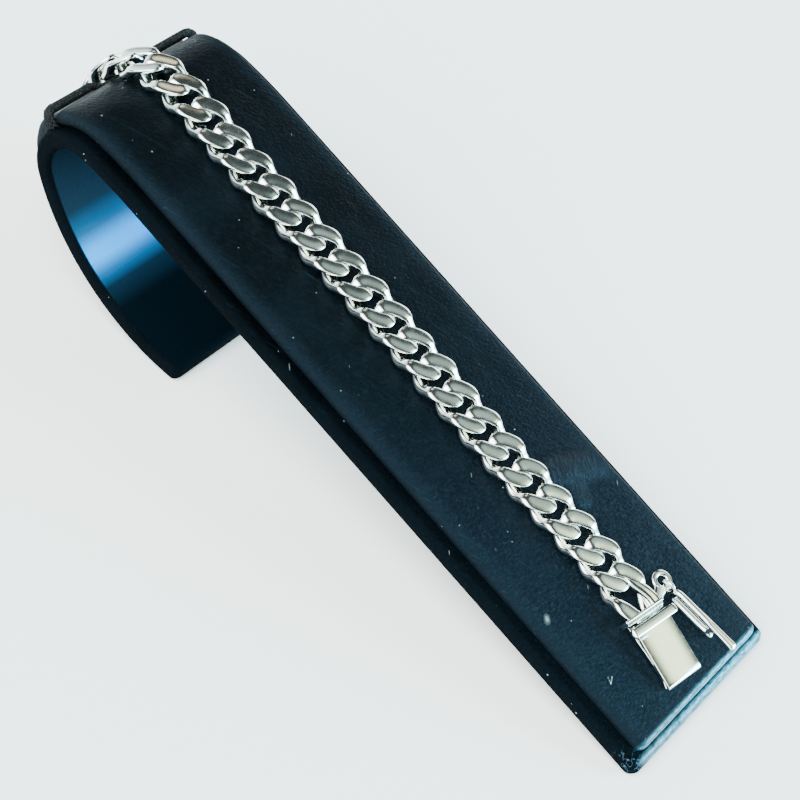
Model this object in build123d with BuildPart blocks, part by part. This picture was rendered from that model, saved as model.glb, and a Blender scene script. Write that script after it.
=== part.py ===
from build123d import *
from dataclasses import dataclass
import math
import os

# A curb link bracelet laid unfastened down the face of a padded display ramp.
# Millimetres. +Z is up, the ramp runs down towards +X, and the origin is on the floor, in the
# middle of the footprint. The far side of the ramp is +Y.

# Display stand: a bent strip that is ramp, crest and curled back leg in one
STRIP_WIDTH = 46.6
STRIP_THICKNESS = 4.2
STRIP_CORNER = 1.8
STRIP_ROUNDING = 1.3
RAMP_CLIMB = 15.0
RAMP_LENGTH = 152.4
FRONT_HEIGHT = 3.7
SHOULDER_RADIUS = 95.0
SHOULDER_TURN = 8.3
CREST_RADIUS = 13.0
CREST_TURN = 121.0
FOOT_LENGTH = 3.0

# Padded panel on the ramp's face, and the elastic that is wrapped across it
PAD_INSET = 2.7
PAD_THICKNESS = 3.0
PAD_CORNER = 1.7
PAD_ROUNDING = 1.0
PAD_END_CLIMB = -104.0
ELASTIC_CLIMB = -48.0
ELASTIC_WIDTH = 3.2
ELASTIC_THICKNESS = 0.7
ELASTIC_SQUEEZE = 0.6
ELASTIC_BEND = 1.2

# Links: a round wire bent to an oval, twisted about its length and pressed flat
CHAIN_WIDTH = 9.8
LINK_PITCH = 7.1
LINK_COUNT = 24
LINK_THICKNESS = 3.6
LINK_TWIST = 54.0
LINK_SQUARENESS = 2.6
LINK_PLAY = 0.65
WIRE = 2.7
CHAIN_SWAY = 0.35
SWAY_LENGTH = 74.0
SWAY_START = 30.0
CHAIN_START = 34.0

# Clasp at the low end: half link, end cap, folded tongue with its thumb bar, and lug
CLASP_YAW = -8.5
CLASP_OFFSET = 0.0
CLASP_HEIGHT = 3.5
LEG_LENGTH = 4.5
LEG_REACH = 7.2
CAP_WIDTH = 10.9
CAP_THICKNESS = 1.2
CAP_ROUNDING = 0.5
TONGUE_WIDTH = 9.6
TONGUE_LENGTH = 15.9
TONGUE_OFFSET = 0.1
LEAF = 0.6
LEAF_SLOPE = 7.0
FOLD_RADIUS = 0.5
THUMB_WIDTH = 11.6
THUMB_LENGTH = 2.2
THUMB_DEPTH = 0.8
THUMB_OFFSET = 0.4
THUMB_START = 1.9
LUG_BACK = 2.7
LUG_OUT = 8.9
LUG_RADIUS = 2.4
LUG_HOLE = 1.1
LUG_THICKNESS = 0.9
STRUT_WIDTH = 2.4

# Safety catch: a small ring through the lug and a long narrow loop with a thumb tail
CATCH_AIM = 12.8
CATCH_WIRE = 1.2
RING_WIRE = 0.9
LOOP_LENGTH = 7.7
LOOP_RISE = 1.2
TAIL_LENGTH = 7.3
TAIL_WIDTH = 1.6
TAIL_THICKNESS = 0.8

# Box that the tongue snaps into, at the hidden end, with the peg that the catch hooks over
BOX_LENGTH = 13.8
BOX_WALL = 0.6
PEG_RADIUS = 0.7
PEG_LENGTH = 1.6
PEG_PLACE = 3.0

# Clearances between pieces
COVER_GAP = 0.1
CHAIN_GAP = 0.25
HINGE_GAP = 0.15

# How finely edges are told apart by length, and how a link's curve is stepped
LENGTH_TOLERANCE = 0.05
TANGENT_STEP = 0.5


@dataclass(frozen=True)
class Stretch:
    """One stretch of a side path: straight with a length, or an arc with a radius and a turn."""

    length: float = 0.0
    radius: float = 0.0
    turn: float = 0.0

    def run(self, height):
        """Length of the stretch when it is followed at a height above the strip's face."""
        return self.length + math.radians(self.turn) * (self.radius + height)


def cos_of(angle):
    return math.cos(math.radians(angle))


def sin_of(angle):
    return math.sin(math.radians(angle))


# The curl brings the back foot down to the floor, where it lies flat.
SHOULDER_CLIMB = RAMP_CLIMB - SHOULDER_TURN
CREST_CLIMB = SHOULDER_CLIMB - CREST_TURN
CURL_TURN = 180 + CREST_CLIMB
CREST_RISE = (
    FRONT_HEIGHT
    + RAMP_LENGTH * sin_of(RAMP_CLIMB)
    + SHOULDER_RADIUS * (cos_of(SHOULDER_CLIMB) - cos_of(RAMP_CLIMB))
    + CREST_RADIUS * (cos_of(CREST_CLIMB) - cos_of(SHOULDER_CLIMB))
)
CURL_RADIUS = CREST_RISE / (1 + cos_of(CREST_CLIMB))


def crest_down_to(climb):
    """The crest's arc from the shoulder down to a climb angle."""
    return Stretch(radius=CREST_RADIUS, turn=SHOULDER_CLIMB - climb)


RAMP = Stretch(length=RAMP_LENGTH)
SHOULDER = Stretch(radius=SHOULDER_RADIUS, turn=SHOULDER_TURN)
CREST = crest_down_to(CREST_CLIMB)
CURL = Stretch(radius=CURL_RADIUS, turn=CURL_TURN)
FOOT = Stretch(length=FOOT_LENGTH)

STRIP_PATH = [RAMP, SHOULDER, CREST, CURL, FOOT]
PAD_PATH = [Stretch(length=RAMP_LENGTH - PAD_INSET), SHOULDER, crest_down_to(PAD_END_CLIMB)]
HANG = Stretch(length=2 * CURL_RADIUS)
CHAIN_PATH = [RAMP, SHOULDER, crest_down_to(-90.0), HANG]

CHAIN_HEIGHT = PAD_THICKNESS + CHAIN_GAP + LINK_THICKNESS / 2


def follow(path, run, height, front_x=0.0):
    """Point and climb angle reached after a run along a path, followed at a height above the face."""
    climb = RAMP_CLIMB
    x = front_x + height * sin_of(climb)
    z = FRONT_HEIGHT + height * cos_of(climb)
    left = run
    for stretch in path:
        whole = stretch.run(height)
        step = min(left, whole)
        turn = stretch.turn * step / whole
        chord = step
        if turn:
            chord = 2 * (stretch.radius + height) * sin_of(turn / 2)
        x -= chord * cos_of(climb - turn / 2)
        z += chord * sin_of(climb - turn / 2)
        climb -= turn
        left -= step
    return x, z, climb


# The footprint runs from the rounded front edge to the chain that hangs behind the crest.
HANG_RUN = sum(stretch.run(CHAIN_HEIGHT) for stretch in CHAIN_PATH[:3])
BACK_X = follow(CHAIN_PATH, HANG_RUN, CHAIN_HEIGHT)[0] - LINK_THICKNESS / 2
FRONT_CUT = STRIP_ROUNDING * (sin_of(RAMP_CLIMB) + cos_of(RAMP_CLIMB) - 1)
FRONT_X = (FRONT_CUT - BACK_X) / 2


def station(path, run, height, across=0.0):
    """Plane at a run along a path: X points down the ramp, Z out of its face."""
    x, z, climb = follow(path, run, height, FRONT_X)
    return Plane(
        origin=(x, across, z),
        x_dir=(cos_of(climb), 0, -sin_of(climb)),
        z_dir=(sin_of(climb), 0, cos_of(climb)),
    )


def turned(plane, angle, shift=(0, 0, 0)):
    """A plane turned about its own normal, then shifted along its own new axes."""
    return Plane(plane.location * Rotation(0, 0, angle) * Pos(*shift))


def trace_path(path, height, inset=0.0):
    """Draws a path inside a BuildLine, raised by a height, and returns its two ends."""
    x, z, climb = follow([Stretch(length=RAMP_LENGTH)], inset, height, FRONT_X)
    start = Vector(x, z)
    point = start
    heading = 180 - climb
    for stretch in path:
        if stretch.turn:
            piece = JernArc(
                start=point,
                tangent=(cos_of(heading), sin_of(heading)),
                radius=stretch.radius + height,
                arc_size=stretch.turn,
            )
        else:
            piece = PolarLine(start=point, length=stretch.length, angle=heading)
        point = piece @ 1
        heading += stretch.turn
    return start, point


def rims(edges, width, thickness):
    """The edges around a bent panel's two faces, without its corner edges and its cross seams."""
    chosen = ShapeList()
    for edge in edges:
        box = edge.bounding_box().size
        corner = abs(edge.length - thickness) < LENGTH_TOLERANCE
        seam = abs(box.Y - width) < LENGTH_TOLERANCE
        if not corner and not seam:
            chosen.append(edge)
    return chosen


def thickness_edges(edges, thickness):
    """The four short corner edges through a panel's thickness."""
    return edges.filter_by(lambda edge: abs(edge.length - thickness) < LENGTH_TOLERANCE)


# Bent strip of the stand

with BuildPart() as stand_base:
    with BuildSketch(Plane.XZ):
        with BuildLine():
            face_start, face_end = trace_path(STRIP_PATH, 0)
            back_start, back_end = trace_path(STRIP_PATH, -STRIP_THICKNESS)
            Line(face_start, back_start)
            Line(face_end, back_end)
        make_face()
    extrude(amount=STRIP_WIDTH / 2, both=True)
    fillet(thickness_edges(stand_base.edges(), STRIP_THICKNESS), STRIP_CORNER)
    fillet(rims(stand_base.edges(), STRIP_WIDTH, STRIP_THICKNESS), STRIP_ROUNDING)
    # the front end is cut level with the floor
    with BuildSketch(Plane.XZ.offset(-STRIP_WIDTH)):
        with Locations((FRONT_X, 0)):
            Rectangle(2 * STRIP_THICKNESS, STRIP_THICKNESS, align=(Align.CENTER, Align.MAX))
    extrude(amount=2 * STRIP_WIDTH, mode=Mode.SUBTRACT)

stand_base.part.label = "stand_base"

# Padded panel, pressed in where the elastic crosses it

PAD_WIDTH = STRIP_WIDTH - 2 * PAD_INSET
PAD_DEPTH = PAD_THICKNESS - COVER_GAP
ELASTIC_RUN = RAMP.run(0) + SHOULDER.run(0) + crest_down_to(ELASTIC_CLIMB).run(0)
ELASTIC_INNER = PAD_WIDTH / 2 - ELASTIC_SQUEEZE
ELASTIC_TOP = PAD_THICKNESS - ELASTIC_SQUEEZE

elastic_seat = station(STRIP_PATH, ELASTIC_RUN, 0)
elastic_plane = Plane(origin=elastic_seat.origin, x_dir=(0, 1, 0), z_dir=elastic_seat.x_dir)


def hoop(half_width, top, bottom, bend):
    """An upturned U inside a BuildLine, from foot to foot over the pad."""
    return FilletPolyline(
        (-half_width, bottom),
        (-half_width, top),
        (half_width, top),
        (half_width, bottom),
        radius=bend,
    )


with BuildPart() as stand_pad:
    with BuildSketch(Plane.XZ):
        with BuildLine():
            top_start, top_end = trace_path(PAD_PATH, PAD_THICKNESS, PAD_INSET)
            under_start, under_end = trace_path(PAD_PATH, COVER_GAP, PAD_INSET)
            Line(top_start, under_start)
            Line(top_end, under_end)
        make_face()
    extrude(amount=PAD_WIDTH / 2, both=True)
    fillet(thickness_edges(stand_pad.edges(), PAD_DEPTH), PAD_CORNER)
    fillet(rims(stand_pad.edges(), PAD_WIDTH, PAD_DEPTH), PAD_ROUNDING)
    # the channel that the elastic presses
    with BuildSketch(elastic_plane):
        Rectangle(PAD_WIDTH + PAD_THICKNESS, 2 * PAD_THICKNESS, align=(Align.CENTER, Align.MIN))
        with BuildLine():
            inside = hoop(ELASTIC_INNER - COVER_GAP, ELASTIC_TOP - COVER_GAP, 0, ELASTIC_BEND)
            Line(inside @ 0, inside @ 1)
        make_face(mode=Mode.SUBTRACT)
    extrude(amount=ELASTIC_WIDTH / 2 + COVER_GAP, both=True, mode=Mode.SUBTRACT)

stand_pad.part.label = "stand_pad"

# Flat elastic over the pad and down its two sides

with BuildPart() as elastic_band:
    with BuildSketch(elastic_plane):
        with BuildLine():
            inner = hoop(ELASTIC_INNER, ELASTIC_TOP, 2 * COVER_GAP, ELASTIC_BEND)
            outer = hoop(
                ELASTIC_INNER + ELASTIC_THICKNESS,
                ELASTIC_TOP + ELASTIC_THICKNESS,
                2 * COVER_GAP,
                ELASTIC_BEND + ELASTIC_THICKNESS,
            )
            Line(inner @ 0, outer @ 0)
            Line(inner @ 1, outer @ 1)
        make_face()
    extrude(amount=ELASTIC_WIDTH / 2, both=True)

elastic_band.part.label = "elastic_band"

# One curb link. Its oval lies along X and is twisted about X, so that each side is raised at
# one end and dips under its neighbour at the other. The wire is a six-sided tube whose high and
# low corners are pressed flat.

LINK_REACH = (LINK_PITCH + WIRE + LINK_PLAY) / 2
LINK_SPREAD = (CHAIN_WIDTH - WIRE) / 2
WIRE_SIDES = 6
RING_STEPS = 24


def squared(value):
    """A sine or cosine drawn out towards the corners of a squarish oval."""
    return math.copysign(abs(value) ** (2 / LINK_SQUARENESS), value)


def link_point(angle, low_reach):
    """Point on a link's centre line; the low end may reach further than the high one."""
    along = squared(cos_of(angle))
    across = LINK_SPREAD * squared(sin_of(angle))
    twist = -LINK_TWIST * sin_of(90 * along)
    reach = low_reach if along > 0 else LINK_REACH
    return Vector(reach * along, across * cos_of(twist), across * sin_of(twist))


def wire_corners(angle, low_reach):
    """Corners of the pressed wire where it is cut square at one angle of the oval."""
    centre = link_point(angle, low_reach)
    ahead = link_point(angle + TANGENT_STEP, low_reach)
    tangent = (ahead - link_point(angle - TANGENT_STEP, low_reach)).normalized()
    raised = (Vector(0, 0, 1) - tangent * tangent.Z).normalized()
    side = tangent.cross(raised)
    corners = []
    for number in range(WIRE_SIDES):
        corner_angle = 360 * number / WIRE_SIDES
        spoke = side * cos_of(corner_angle) + raised * sin_of(corner_angle)
        corner = centre + spoke * (WIRE / 2)
        level = max(-LINK_THICKNESS / 2, min(LINK_THICKNESS / 2, corner.Z))
        corners.append(Vector(corner.X, corner.Y, level))
    return corners


def link_solid(low_reach):
    """A closed, pressed link."""
    rings = [wire_corners(360 * step / RING_STEPS, low_reach) for step in range(RING_STEPS)]
    faces = []
    for step in range(RING_STEPS):
        ring = rings[step]
        after = rings[(step + 1) % RING_STEPS]
        for corner in range(WIRE_SIDES):
            beside = (corner + 1) % WIRE_SIDES
            faces.append(Face(Wire.make_polygon([ring[corner], ring[beside], after[beside]])))
            faces.append(Face(Wire.make_polygon([ring[corner], after[beside], after[corner]])))
    return Solid(Shell(faces))


def chain_plane(run):
    """Where a link lies: the chain sways gently from side to side along the ramp."""
    phase = 360 * (run - SWAY_START) / SWAY_LENGTH
    across = CHAIN_SWAY * cos_of(phase)
    slope = -CHAIN_SWAY * math.tau / SWAY_LENGTH * sin_of(phase)
    plane = station(CHAIN_PATH, run, CHAIN_HEIGHT, across)
    return turned(plane, -math.degrees(math.atan(slope)))


LAST_RUN = CHAIN_START + LINK_PITCH * (LINK_COUNT - 1)

link = link_solid(LINK_REACH)
links = []
for number in range(LINK_COUNT):
    placed = chain_plane(CHAIN_START + LINK_PITCH * number).location * link
    placed.label = f"link_{number + 1:02d}"
    links.append(placed)

# Clasp tongue in its own frame: the cap's back is at X = 0, the tip lies towards +X, and Z = 0
# is the underside. The end link's two legs run straight into the cap.

CLASP_MIDDLE = CLASP_HEIGHT / 2
LEAF_RUN = TONGUE_LENGTH - FOLD_RADIUS - LEAF / 2

with BuildPart() as end_link:
    add(Location((-LEG_LENGTH, 0, CLASP_MIDDLE)) * link_solid(LEG_REACH))
    with BuildSketch(Plane.YZ.offset(CAP_THICKNESS / 2)):
        Rectangle(2 * CHAIN_WIDTH, 2 * CHAIN_WIDTH)
    extrude(amount=LEG_REACH, mode=Mode.SUBTRACT)

with BuildPart() as clasp_tongue:
    add(end_link.part)
    # end cap
    with BuildSketch(Plane.YZ):
        with Locations((0, CLASP_MIDDLE)):
            RectangleRounded(CAP_WIDTH, CLASP_HEIGHT, CAP_ROUNDING)
    extrude(amount=CAP_THICKNESS)
    # the two leaves of the springy tongue, folded back at the tip
    with BuildSketch(Plane.XZ.offset(-TONGUE_OFFSET)):
        with BuildLine():
            low = Line((CAP_THICKNESS / 2, LEAF), (LEAF_RUN, LEAF))
            fold = JernArc(start=low @ 1, tangent=(1, 0), radius=FOLD_RADIUS, arc_size=180 - LEAF_SLOPE)
            high = PolarLine(
                start=fold @ 1,
                length=(LEAF_RUN - THUMB_START) / cos_of(LEAF_SLOPE),
                angle=180 - LEAF_SLOPE,
            )
        trace(line_width=LEAF)
    extrude(amount=TONGUE_WIDTH / 2, both=True)
    # thumb bar across the free end of the upper leaf
    with BuildSketch(Plane.XY.offset((high @ 1).Y)):
        with Locations((THUMB_START + THUMB_LENGTH / 2, THUMB_OFFSET)):
            RectangleRounded(THUMB_LENGTH, THUMB_WIDTH, THUMB_LENGTH / 2 - COVER_GAP)
    extrude(amount=THUMB_DEPTH)
    # lug for the safety catch
    with BuildSketch(Plane.XY.offset(CLASP_MIDDLE - LUG_THICKNESS / 2)):
        with BuildLine():
            strut = Line((CAP_THICKNESS / 2, CAP_WIDTH / 2 - LUG_THICKNESS), (-LUG_BACK, LUG_OUT))
        trace(line_width=STRUT_WIDTH)
        with Locations((-LUG_BACK, LUG_OUT)):
            Circle(LUG_RADIUS)
            Circle(LUG_HOLE, mode=Mode.SUBTRACT)
    extrude(amount=LUG_THICKNESS)

# the clasp is turned where its end link hooks into the first link
clasp_reach = LINK_PITCH / 2 + LEG_LENGTH
clasp_joint = chain_plane(CHAIN_START - LINK_PITCH / 2)
clasp_plane = turned(clasp_joint, CLASP_YAW, (clasp_reach, CLASP_OFFSET, -CLASP_MIDDLE))
clasp_tongue_piece = clasp_plane.location * clasp_tongue.part
clasp_tongue_piece.label = "clasp_tongue"

# Safety catch in its own frame: the hinge is the Y axis and the catch points along +X. The
# ring is centred on the lug's metal, so that it turns round it without touching.

HINGE_REACH = (LUG_HOLE + LUG_RADIUS) / 2
LUG_METAL = math.hypot(LUG_RADIUS - LUG_HOLE, LUG_THICKNESS) / 2
RING_RADIUS = LUG_METAL + HINGE_GAP + RING_WIRE / 2
LOOP_START = RING_RADIUS + LOOP_RISE + CATCH_WIRE / 2
LOOP_END = LOOP_START + LOOP_LENGTH

with BuildPart() as safety_catch:
    with BuildSketch(Plane.XY):
        with Locations((RING_RADIUS, 0)):
            Circle(RING_WIRE / 2)
    revolve(axis=Axis.Y)
    # two arms of the loop, closed by half rings
    with BuildSketch(Plane.YZ.offset(LOOP_START)):
        with Locations((0, LOOP_RISE), (0, -LOOP_RISE)):
            Circle(CATCH_WIRE / 2)
    extrude(amount=LOOP_LENGTH)
    for end, first in ((LOOP_START, -LOOP_RISE), (LOOP_END, LOOP_RISE)):
        with BuildSketch(Plane.YZ.offset(end)):
            with Locations((0, first)):
                Circle(CATCH_WIRE / 2)
        revolve(axis=Axis((end, 0, 0), (0, 1, 0)), revolution_arc=180)
    # flat thumb tail, in line with the upper arm
    with BuildSketch(Plane.XZ):
        with Locations((LOOP_END, LOOP_RISE)):
            Rectangle(TAIL_LENGTH, TAIL_THICKNESS, align=(Align.MIN, Align.CENTER))
    extrude(amount=TAIL_WIDTH / 2, both=True)
    tip_edges = safety_catch.edges().filter_by(Axis.Z).group_by(Axis.X)[-1]
    fillet(tip_edges, TAIL_WIDTH / 3)

lug_point = clasp_plane.from_local_coords((-LUG_BACK, LUG_OUT, CLASP_MIDDLE))
lug_plane = Plane(origin=lug_point, x_dir=clasp_plane.x_dir, z_dir=clasp_plane.z_dir)
catch_plane = turned(lug_plane, CATCH_AIM, (HINGE_REACH, 0, 0))
safety_catch_piece = catch_plane.location * safety_catch.part
safety_catch_piece.label = "safety_catch"

# Box of the clasp, in the same kind of frame: its back is at X = 0 and its mouth is at the far end

with BuildPart() as clasp_box:
    add(end_link.part)
    with BuildSketch(Plane.YZ):
        with Locations((0, CLASP_MIDDLE)):
            RectangleRounded(CAP_WIDTH, CLASP_HEIGHT, CAP_ROUNDING)
    extrude(amount=BOX_LENGTH)
    with BuildSketch(Plane.YZ.offset(CAP_THICKNESS)):
        with Locations((0, BOX_WALL)):
            Rectangle(
                CAP_WIDTH - 2 * BOX_WALL,
                CLASP_HEIGHT - 2 * BOX_WALL,
                align=(Align.CENTER, Align.MIN),
            )
    extrude(amount=BOX_LENGTH, mode=Mode.SUBTRACT)
    with BuildSketch(Plane.XZ.offset(-CAP_WIDTH / 2 + BOX_WALL / 2)):
        with Locations((PEG_PLACE, CLASP_MIDDLE)):
            Circle(PEG_RADIUS)
    extrude(amount=-PEG_LENGTH)

box_seat = chain_plane(LAST_RUN + LINK_PITCH + LEG_LENGTH)
box_plane = turned(box_seat, 180, (0, 0, -CLASP_MIDDLE))
clasp_box_piece = box_plane.location * clasp_box.part
clasp_box_piece.label = "clasp_box"

pieces = [
    stand_base.part,
    stand_pad.part,
    elastic_band.part,
    clasp_tongue_piece,
    safety_catch_piece,
    clasp_box_piece,
]
pieces += links

os.makedirs("parts", exist_ok=True)
for piece in pieces:
    export_step(piece, f"parts/{piece.label}.step")
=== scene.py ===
"""Looks of a cuban link bracelet that lies unfastened down a padded display ramp.

All shapes are worked out in millimetres, in the frame of the solids, and written in metres.
+X runs down the ramp, +Y is the side of the safety catch and +Z is up.
"""

import logging
import math
from dataclasses import dataclass
from enum import Enum
from typing import Any, Callable, Sequence

import bmesh
import bpy
from mathutils import Matrix, Vector, noise


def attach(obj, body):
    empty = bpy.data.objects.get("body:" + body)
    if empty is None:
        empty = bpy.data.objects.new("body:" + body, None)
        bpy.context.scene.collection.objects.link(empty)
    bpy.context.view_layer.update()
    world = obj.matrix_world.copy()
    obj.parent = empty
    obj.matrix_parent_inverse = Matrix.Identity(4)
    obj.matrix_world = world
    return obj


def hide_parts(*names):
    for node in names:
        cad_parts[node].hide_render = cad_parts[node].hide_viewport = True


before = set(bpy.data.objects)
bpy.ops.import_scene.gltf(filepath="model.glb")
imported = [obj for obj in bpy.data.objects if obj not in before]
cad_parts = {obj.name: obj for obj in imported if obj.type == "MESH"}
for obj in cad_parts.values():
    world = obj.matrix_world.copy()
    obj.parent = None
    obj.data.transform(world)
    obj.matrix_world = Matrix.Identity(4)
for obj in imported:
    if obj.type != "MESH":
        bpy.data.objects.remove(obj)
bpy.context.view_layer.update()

MM = 0.001
ROOT = "stand_and_chain"
CATCH = "catch"
log = logging.getLogger("bracelet")

Colour = tuple[float, float, float]
Triple = tuple[float, float, float]
Section = list[tuple[float, float]]
Inputs = dict[str | int, Any]


def sin_of(angle: float) -> float:
    """Sine of an angle in degrees."""
    return math.sin(math.radians(angle))


def cos_of(angle: float) -> float:
    """Cosine of an angle in degrees."""
    return math.cos(math.radians(angle))


def smooth_step(low: float, high: float, value: float) -> float:
    """Eased step from 0 at low to 1 at high."""
    share = min(1.0, max(0.0, (value - low) / (high - low)))
    return share * share * (3 - 2 * share)


def bump_at(value: float, centre: float, spread: float) -> float:
    """Bell curve of height 1 around a centre."""
    return math.exp(-(((value - centre) / spread) ** 2))


def titled(sizes: Any, *names: str) -> dict[str, Any]:
    """Some of an object's sizes, named as the inputs of a geometry tree."""
    return {name.replace("_", " ").title(): getattr(sizes, name) for name in names}


class Value:
    """An output socket that can be used in plain arithmetic."""

    def __init__(self, sheet: "NodeSheet", socket: bpy.types.NodeSocket) -> None:
        """Keeps the sheet that the socket belongs to."""
        self.sheet = sheet
        self.socket = socket

    def maths(self, operation: str, *others: Any) -> "Value":
        """Adds a Math node.

        Args:
            operation: The Math node's operation.
            others: Values or numbers for its other sockets.

        Returns:
            The node's result.
        """
        inputs = dict(enumerate((self, *others)))
        return self.sheet.node("ShaderNodeMath", {"operation": operation}, inputs)[0]

    def __add__(self, other: Any) -> "Value":
        """Sum."""
        return self.maths("ADD", other)

    def __radd__(self, other: Any) -> "Value":
        """Sum."""
        return self.maths("ADD", other)

    def __sub__(self, other: Any) -> "Value":
        """Difference."""
        return self.maths("SUBTRACT", other)

    def __rsub__(self, other: Any) -> "Value":
        """Difference from a number."""
        return self.maths("MULTIPLY", -1.0) + other

    def __mul__(self, other: Any) -> "Value":
        """Product."""
        return self.maths("MULTIPLY", other)

    def __rmul__(self, other: Any) -> "Value":
        """Product."""
        return self.maths("MULTIPLY", other)

    def __truediv__(self, other: Any) -> "Value":
        """Quotient."""
        return self.maths("DIVIDE", other)

    def __pow__(self, other: Any) -> "Value":
        """Power."""
        return self.maths("POWER", other)

    def __gt__(self, other: Any) -> "Value":
        """1 where this is larger."""
        return self.maths("GREATER_THAN", other)

    def __lt__(self, other: Any) -> "Value":
        """1 where this is smaller."""
        return self.maths("LESS_THAN", other)

    def __neg__(self) -> "Value":
        """The same with its sign turned."""
        return self.maths("MULTIPLY", -1.0)

    def __abs__(self) -> "Value":
        """Size without its sign."""
        return self.maths("ABSOLUTE")

    def step(self, low: float, high: float) -> "Value":
        """Eased step from 0 at low to 1 at high."""
        settings = {"interpolation_type": "SMOOTHSTEP"}
        return self.sheet.node("ShaderNodeMapRange", settings, {0: self, 1: low, 2: high})[0]

    def between(self, low: "Value", high: "Value") -> "Value":
        """Passes from low to high as this goes from 0 to 1."""
        return low * (1 - self) + high * self

    def squared(self, power: "Value") -> "Value":
        """Draws a wave out towards the corners of a squarish oval."""
        return abs(self) ** power * self.maths("SIGN")


class Node:
    """A node whose outputs are read by name or number."""

    def __init__(self, sheet: "NodeSheet", node: bpy.types.Node) -> None:
        """Keeps the sheet that the node belongs to."""
        self.sheet = sheet
        self.node = node

    def __getitem__(self, key: str | int) -> Value:
        """An output socket as a value."""
        return Value(self.sheet, self.node.outputs[key])


class NodeSheet:
    """Adds nodes and links to one tree."""

    def __init__(self, tree: bpy.types.NodeTree) -> None:
        """Keeps the tree."""
        self.tree = tree

    def node(
        self, kind: str, settings: dict[str, Any] | None = None, inputs: Inputs | None = None
    ) -> Node:
        """Adds a node.

        Args:
            kind: The node's type.
            settings: Its properties; "stops" are a ramp's places and colours.
            inputs: Numbers, colours or values for its sockets, by name or number.

        Returns:
            The node.
        """
        made = self.tree.nodes.new(kind)
        for key, setting in (settings or {}).items():
            if key == "stops":
                self.fill_ramp(made.color_ramp, setting)
            else:
                setattr(made, key, setting)
        for key, given in (inputs or {}).items():
            socket = made.inputs[key]
            if isinstance(given, Value):
                self.tree.links.new(given.socket, socket)
            else:
                socket.default_value = given
        return Node(self, made)

    @staticmethod
    def fill_ramp(ramp: bpy.types.ColorRamp, stops: Sequence[tuple[float, Colour]]) -> None:
        """Sets a ramp's stops.

        Args:
            ramp: The ramp.
            stops: Its places and colours.
        """
        while len(ramp.elements) < len(stops):
            ramp.elements.new(1.0)
        for element, (place, colour) in zip(ramp.elements, stops):
            element.position = place
            element.color = (*colour, 1.0)

    def attribute(self, name: str) -> Node:
        """The piece's own attribute of that name."""
        return self.node("ShaderNodeAttribute", {"attribute_name": name})

    def place(self) -> Value:
        """The object's own coordinates, in metres."""
        return self.node("ShaderNodeTexCoord")["Object"]

    def noise(self, place: Value, scale: float, detail: float = 3.0, rough: float = 0.5) -> Value:
        """Noise around 0.5 at a place."""
        inputs = {"Vector": place, "Scale": scale, "Detail": detail, "Roughness": rough}
        return self.node("ShaderNodeTexNoise", None, inputs)["Fac"]

    def stretched(self, place: Value, scale: Triple, turn: Triple = (0.0, 0.0, 0.0)) -> Value:
        """A place that is turned and then scaled along each axis."""
        turned = self.node("ShaderNodeMapping", None, {"Vector": place, "Rotation": turn})[0]
        return self.node("ShaderNodeMapping", None, {"Vector": turned, "Scale": scale})[0]

    def blend(self, share: Any, low: Any, high: Any) -> Value:
        """Mix of two colours."""
        inputs = {0: share, 6: self.colour(low), 7: self.colour(high)}
        return self.node("ShaderNodeMix", {"data_type": "RGBA"}, inputs)[2]

    def added(self, first: Value, second: Value) -> Value:
        """Sum of two colours."""
        settings = {"data_type": "RGBA", "blend_type": "ADD"}
        return self.node("ShaderNodeMix", settings, {0: 1.0, 6: first, 7: second})[2]

    @staticmethod
    def colour(given: Any) -> Any:
        """A colour with its alpha, or a value as it is."""
        return given if isinstance(given, Value) else (*given, 1.0)

    def bump(self, height: Value, strength: float, distance: float) -> Value:
        """Normal of a height."""
        inputs = {"Height": height, "Strength": strength, "Distance": distance}
        return self.node("ShaderNodeBump", None, inputs)["Normal"]

    def principled(self, inputs: Inputs) -> Value:
        """A Principled shader."""
        return self.node("ShaderNodeBsdfPrincipled", None, inputs)[0]

    def vector(self, operation: str, first: Any, second: Any = None, scale: Any = None) -> Value:
        """Adds a Vector Math node.

        Args:
            operation: The Vector Math node's operation.
            first: Its first vector.
            second: Its second vector, where the operation has one.
            scale: The number that it scales by.

        Returns:
            The node's resulting vector.
        """
        inputs = {0: first, 1: second, "Scale": scale}
        given = {key: part for key, part in inputs.items() if part is not None}
        return self.node("ShaderNodeVectorMath", {"operation": operation}, given)[0]

    def combined(self, x: Any = 0.0, y: Any = 0.0, z: Any = 0.0) -> Value:
        """A vector from its three parts."""
        return self.node("ShaderNodeCombineXYZ", None, {0: x, 1: y, 2: z})[0]

    def parts(self, vector: Value) -> Node:
        """The three parts of a vector."""
        return self.node("ShaderNodeSeparateXYZ", None, {0: vector})


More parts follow.
